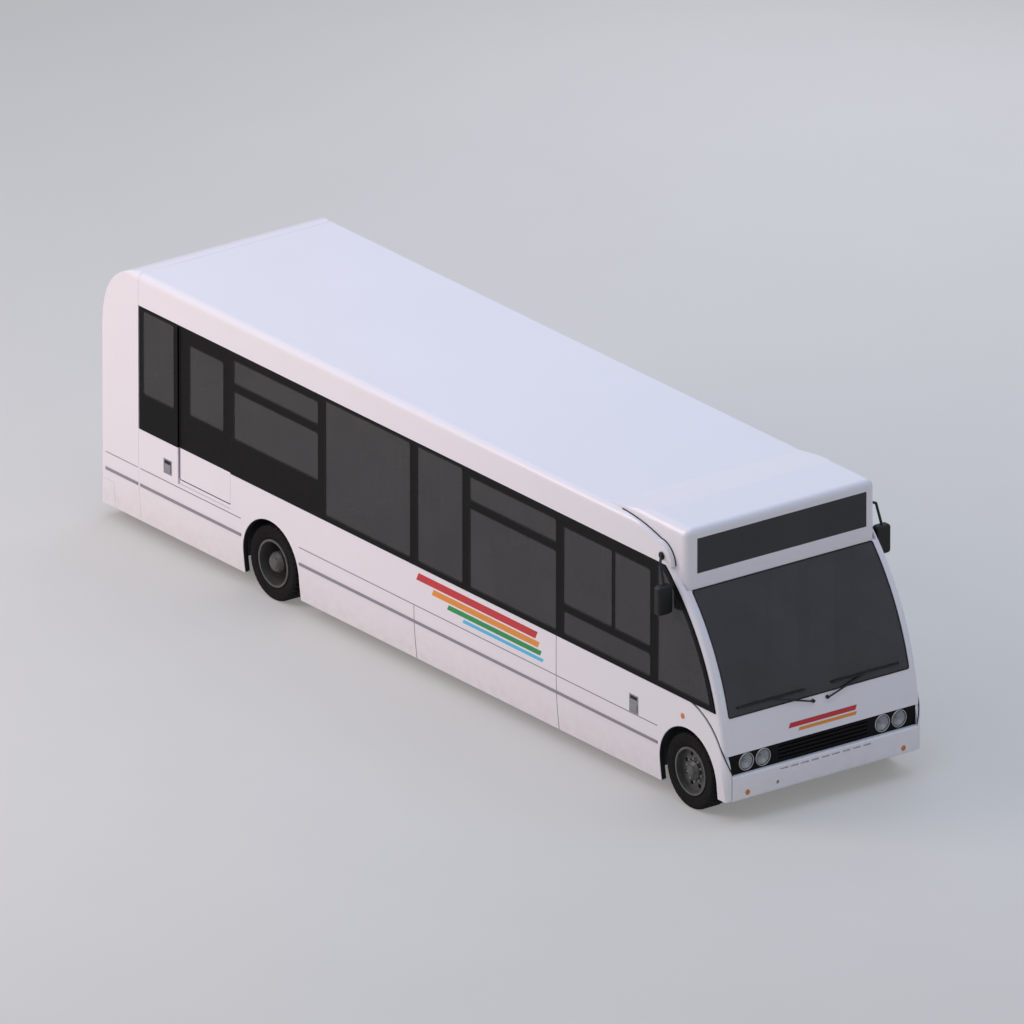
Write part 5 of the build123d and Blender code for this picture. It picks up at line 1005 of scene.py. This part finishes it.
class MIDIBUS_OT_stage(bpy.types.Operator):
    """Makes the floor, the light and the camera"""
    bl_idname = "midibus.stage"
    bl_label = "Stage"

    def execute(self, context):
        scene = context.scene
        scene.view_settings.view_transform = "Standard"
        floor_half = 400.0
        corners = floor_half * np.array([[(-1, -1, 0), (1, -1, 0)], [(-1, 1, 0), (1, 1, 0)]], float)
        piece("studio_floor", surface(corners), studio_floor(), None)
        world = bpy.data.worlds.new("studio_sky")
        scene.world = world
        world.use_nodes = True
        tree = world.node_tree
        lit, shown = shade(linear("C8CDD8"), 0.55), linear("CBCCCE")
        sky = add(tree, MIX, {0: seen_rays(tree), 6: lit, 7: shown}, **COLOURS)
        tree.links.new(sky, tree.nodes["Background"].inputs["Color"])
        # Name, place, size in metres, power in watts and colour of the lights, which face the bus's middle
        lights = (
            ("key_light", (-9, -17, 12), 13, 2500, "FFEBE7"), ("top_light", (0, 0, 20), 26, 2500, "BCD6FF"),
            ("front_light", (19, 3, 7), 9, 120, "DCE4FF"), ("rear_light", (-10, 14, 9), 12, 700, "E6ECFF"))
        middle = Vector((0, 0, 1))
        for name, at, size, watts, code in lights:
            light = bpy.data.lights.new(name, "AREA")
            light.size, light.energy, light.color = size, watts, linear(code)[:3]
            lamp = bpy.data.objects.new(name, light)
            context.collection.objects.link(lamp)
            lamp.location = at
            lamp.visible_glossy = name != "rear_light"
            lamp.rotation_euler = (middle - Vector(at)).to_track_quat("-Z", "Y").to_euler()
        # A long lens from far away: the photograph has almost no perspective
        camera = bpy.data.cameras.new("camera")
        camera.lens, camera.sensor_width, camera.clip_end = 1500.0, 36.0, 2000.0
        eye = bpy.data.objects.new("camera", camera)
        context.collection.objects.link(eye)
        turn, tilt, away, aim = np.radians(53.15), np.radians(21.7), 430.8, Vector((0.022, 0.030, 1.424))
        back_to_eye = Vector((np.sin(turn) * np.cos(tilt), -np.cos(turn) * np.cos(tilt), np.sin(tilt)))
        eye.location = aim + back_to_eye * away
        eye.rotation_euler = back_to_eye.to_track_quat("Z", "Y").to_euler()
        scene.camera = eye
        return {"FINISHED"}


STEPS = (MIDIBUS_OT_paint, MIDIBUS_OT_tyres, MIDIBUS_OT_wheel_nuts, MIDIBUS_OT_seats, MIDIBUS_OT_seals,
         MIDIBUS_OT_lamps, MIDIBUS_OT_joints, MIDIBUS_OT_stripes, MIDIBUS_OT_stage)


class MIDIBUS_PT_panel(bpy.types.Panel):
    """Lists the steps that dress the midibus, with its colours and sizes"""
    bl_idname = "MIDIBUS_PT_panel"
    bl_label = "Midibus"
    bl_space_type = "VIEW_3D"
    bl_region_type = "UI"
    bl_category = "Midibus"

    def draw(self, context):
        for step in STEPS:
            self.layout.operator(step.bl_idname)
        for group in (context.scene.midibus_colours, context.scene.midibus_sizes):
            box = self.layout.box()
            for name in group.__annotations__:
                box.prop(group, name)


CLASSES = (MidibusColours, MidibusSizes, *STEPS, MIDIBUS_PT_panel)


def register():
    """Registers the classes, and puts the two groups of settings on the scene."""
    for one in CLASSES:
        bpy.utils.register_class(one)
    bpy.types.Scene.midibus_colours = bpy.props.PointerProperty(type=MidibusColours)
    bpy.types.Scene.midibus_sizes = bpy.props.PointerProperty(type=MidibusSizes)


def unregister():
    """Takes back what register did."""
    del bpy.types.Scene.midibus_sizes
    del bpy.types.Scene.midibus_colours
    for one in reversed(CLASSES):
        bpy.utils.unregister_class(one)


def main():
    register()
    for step in STEPS:
        group, name = step.bl_idname.split(".")
        getattr(getattr(bpy.ops, group), name)()


if __name__ == "__main__":
    main()
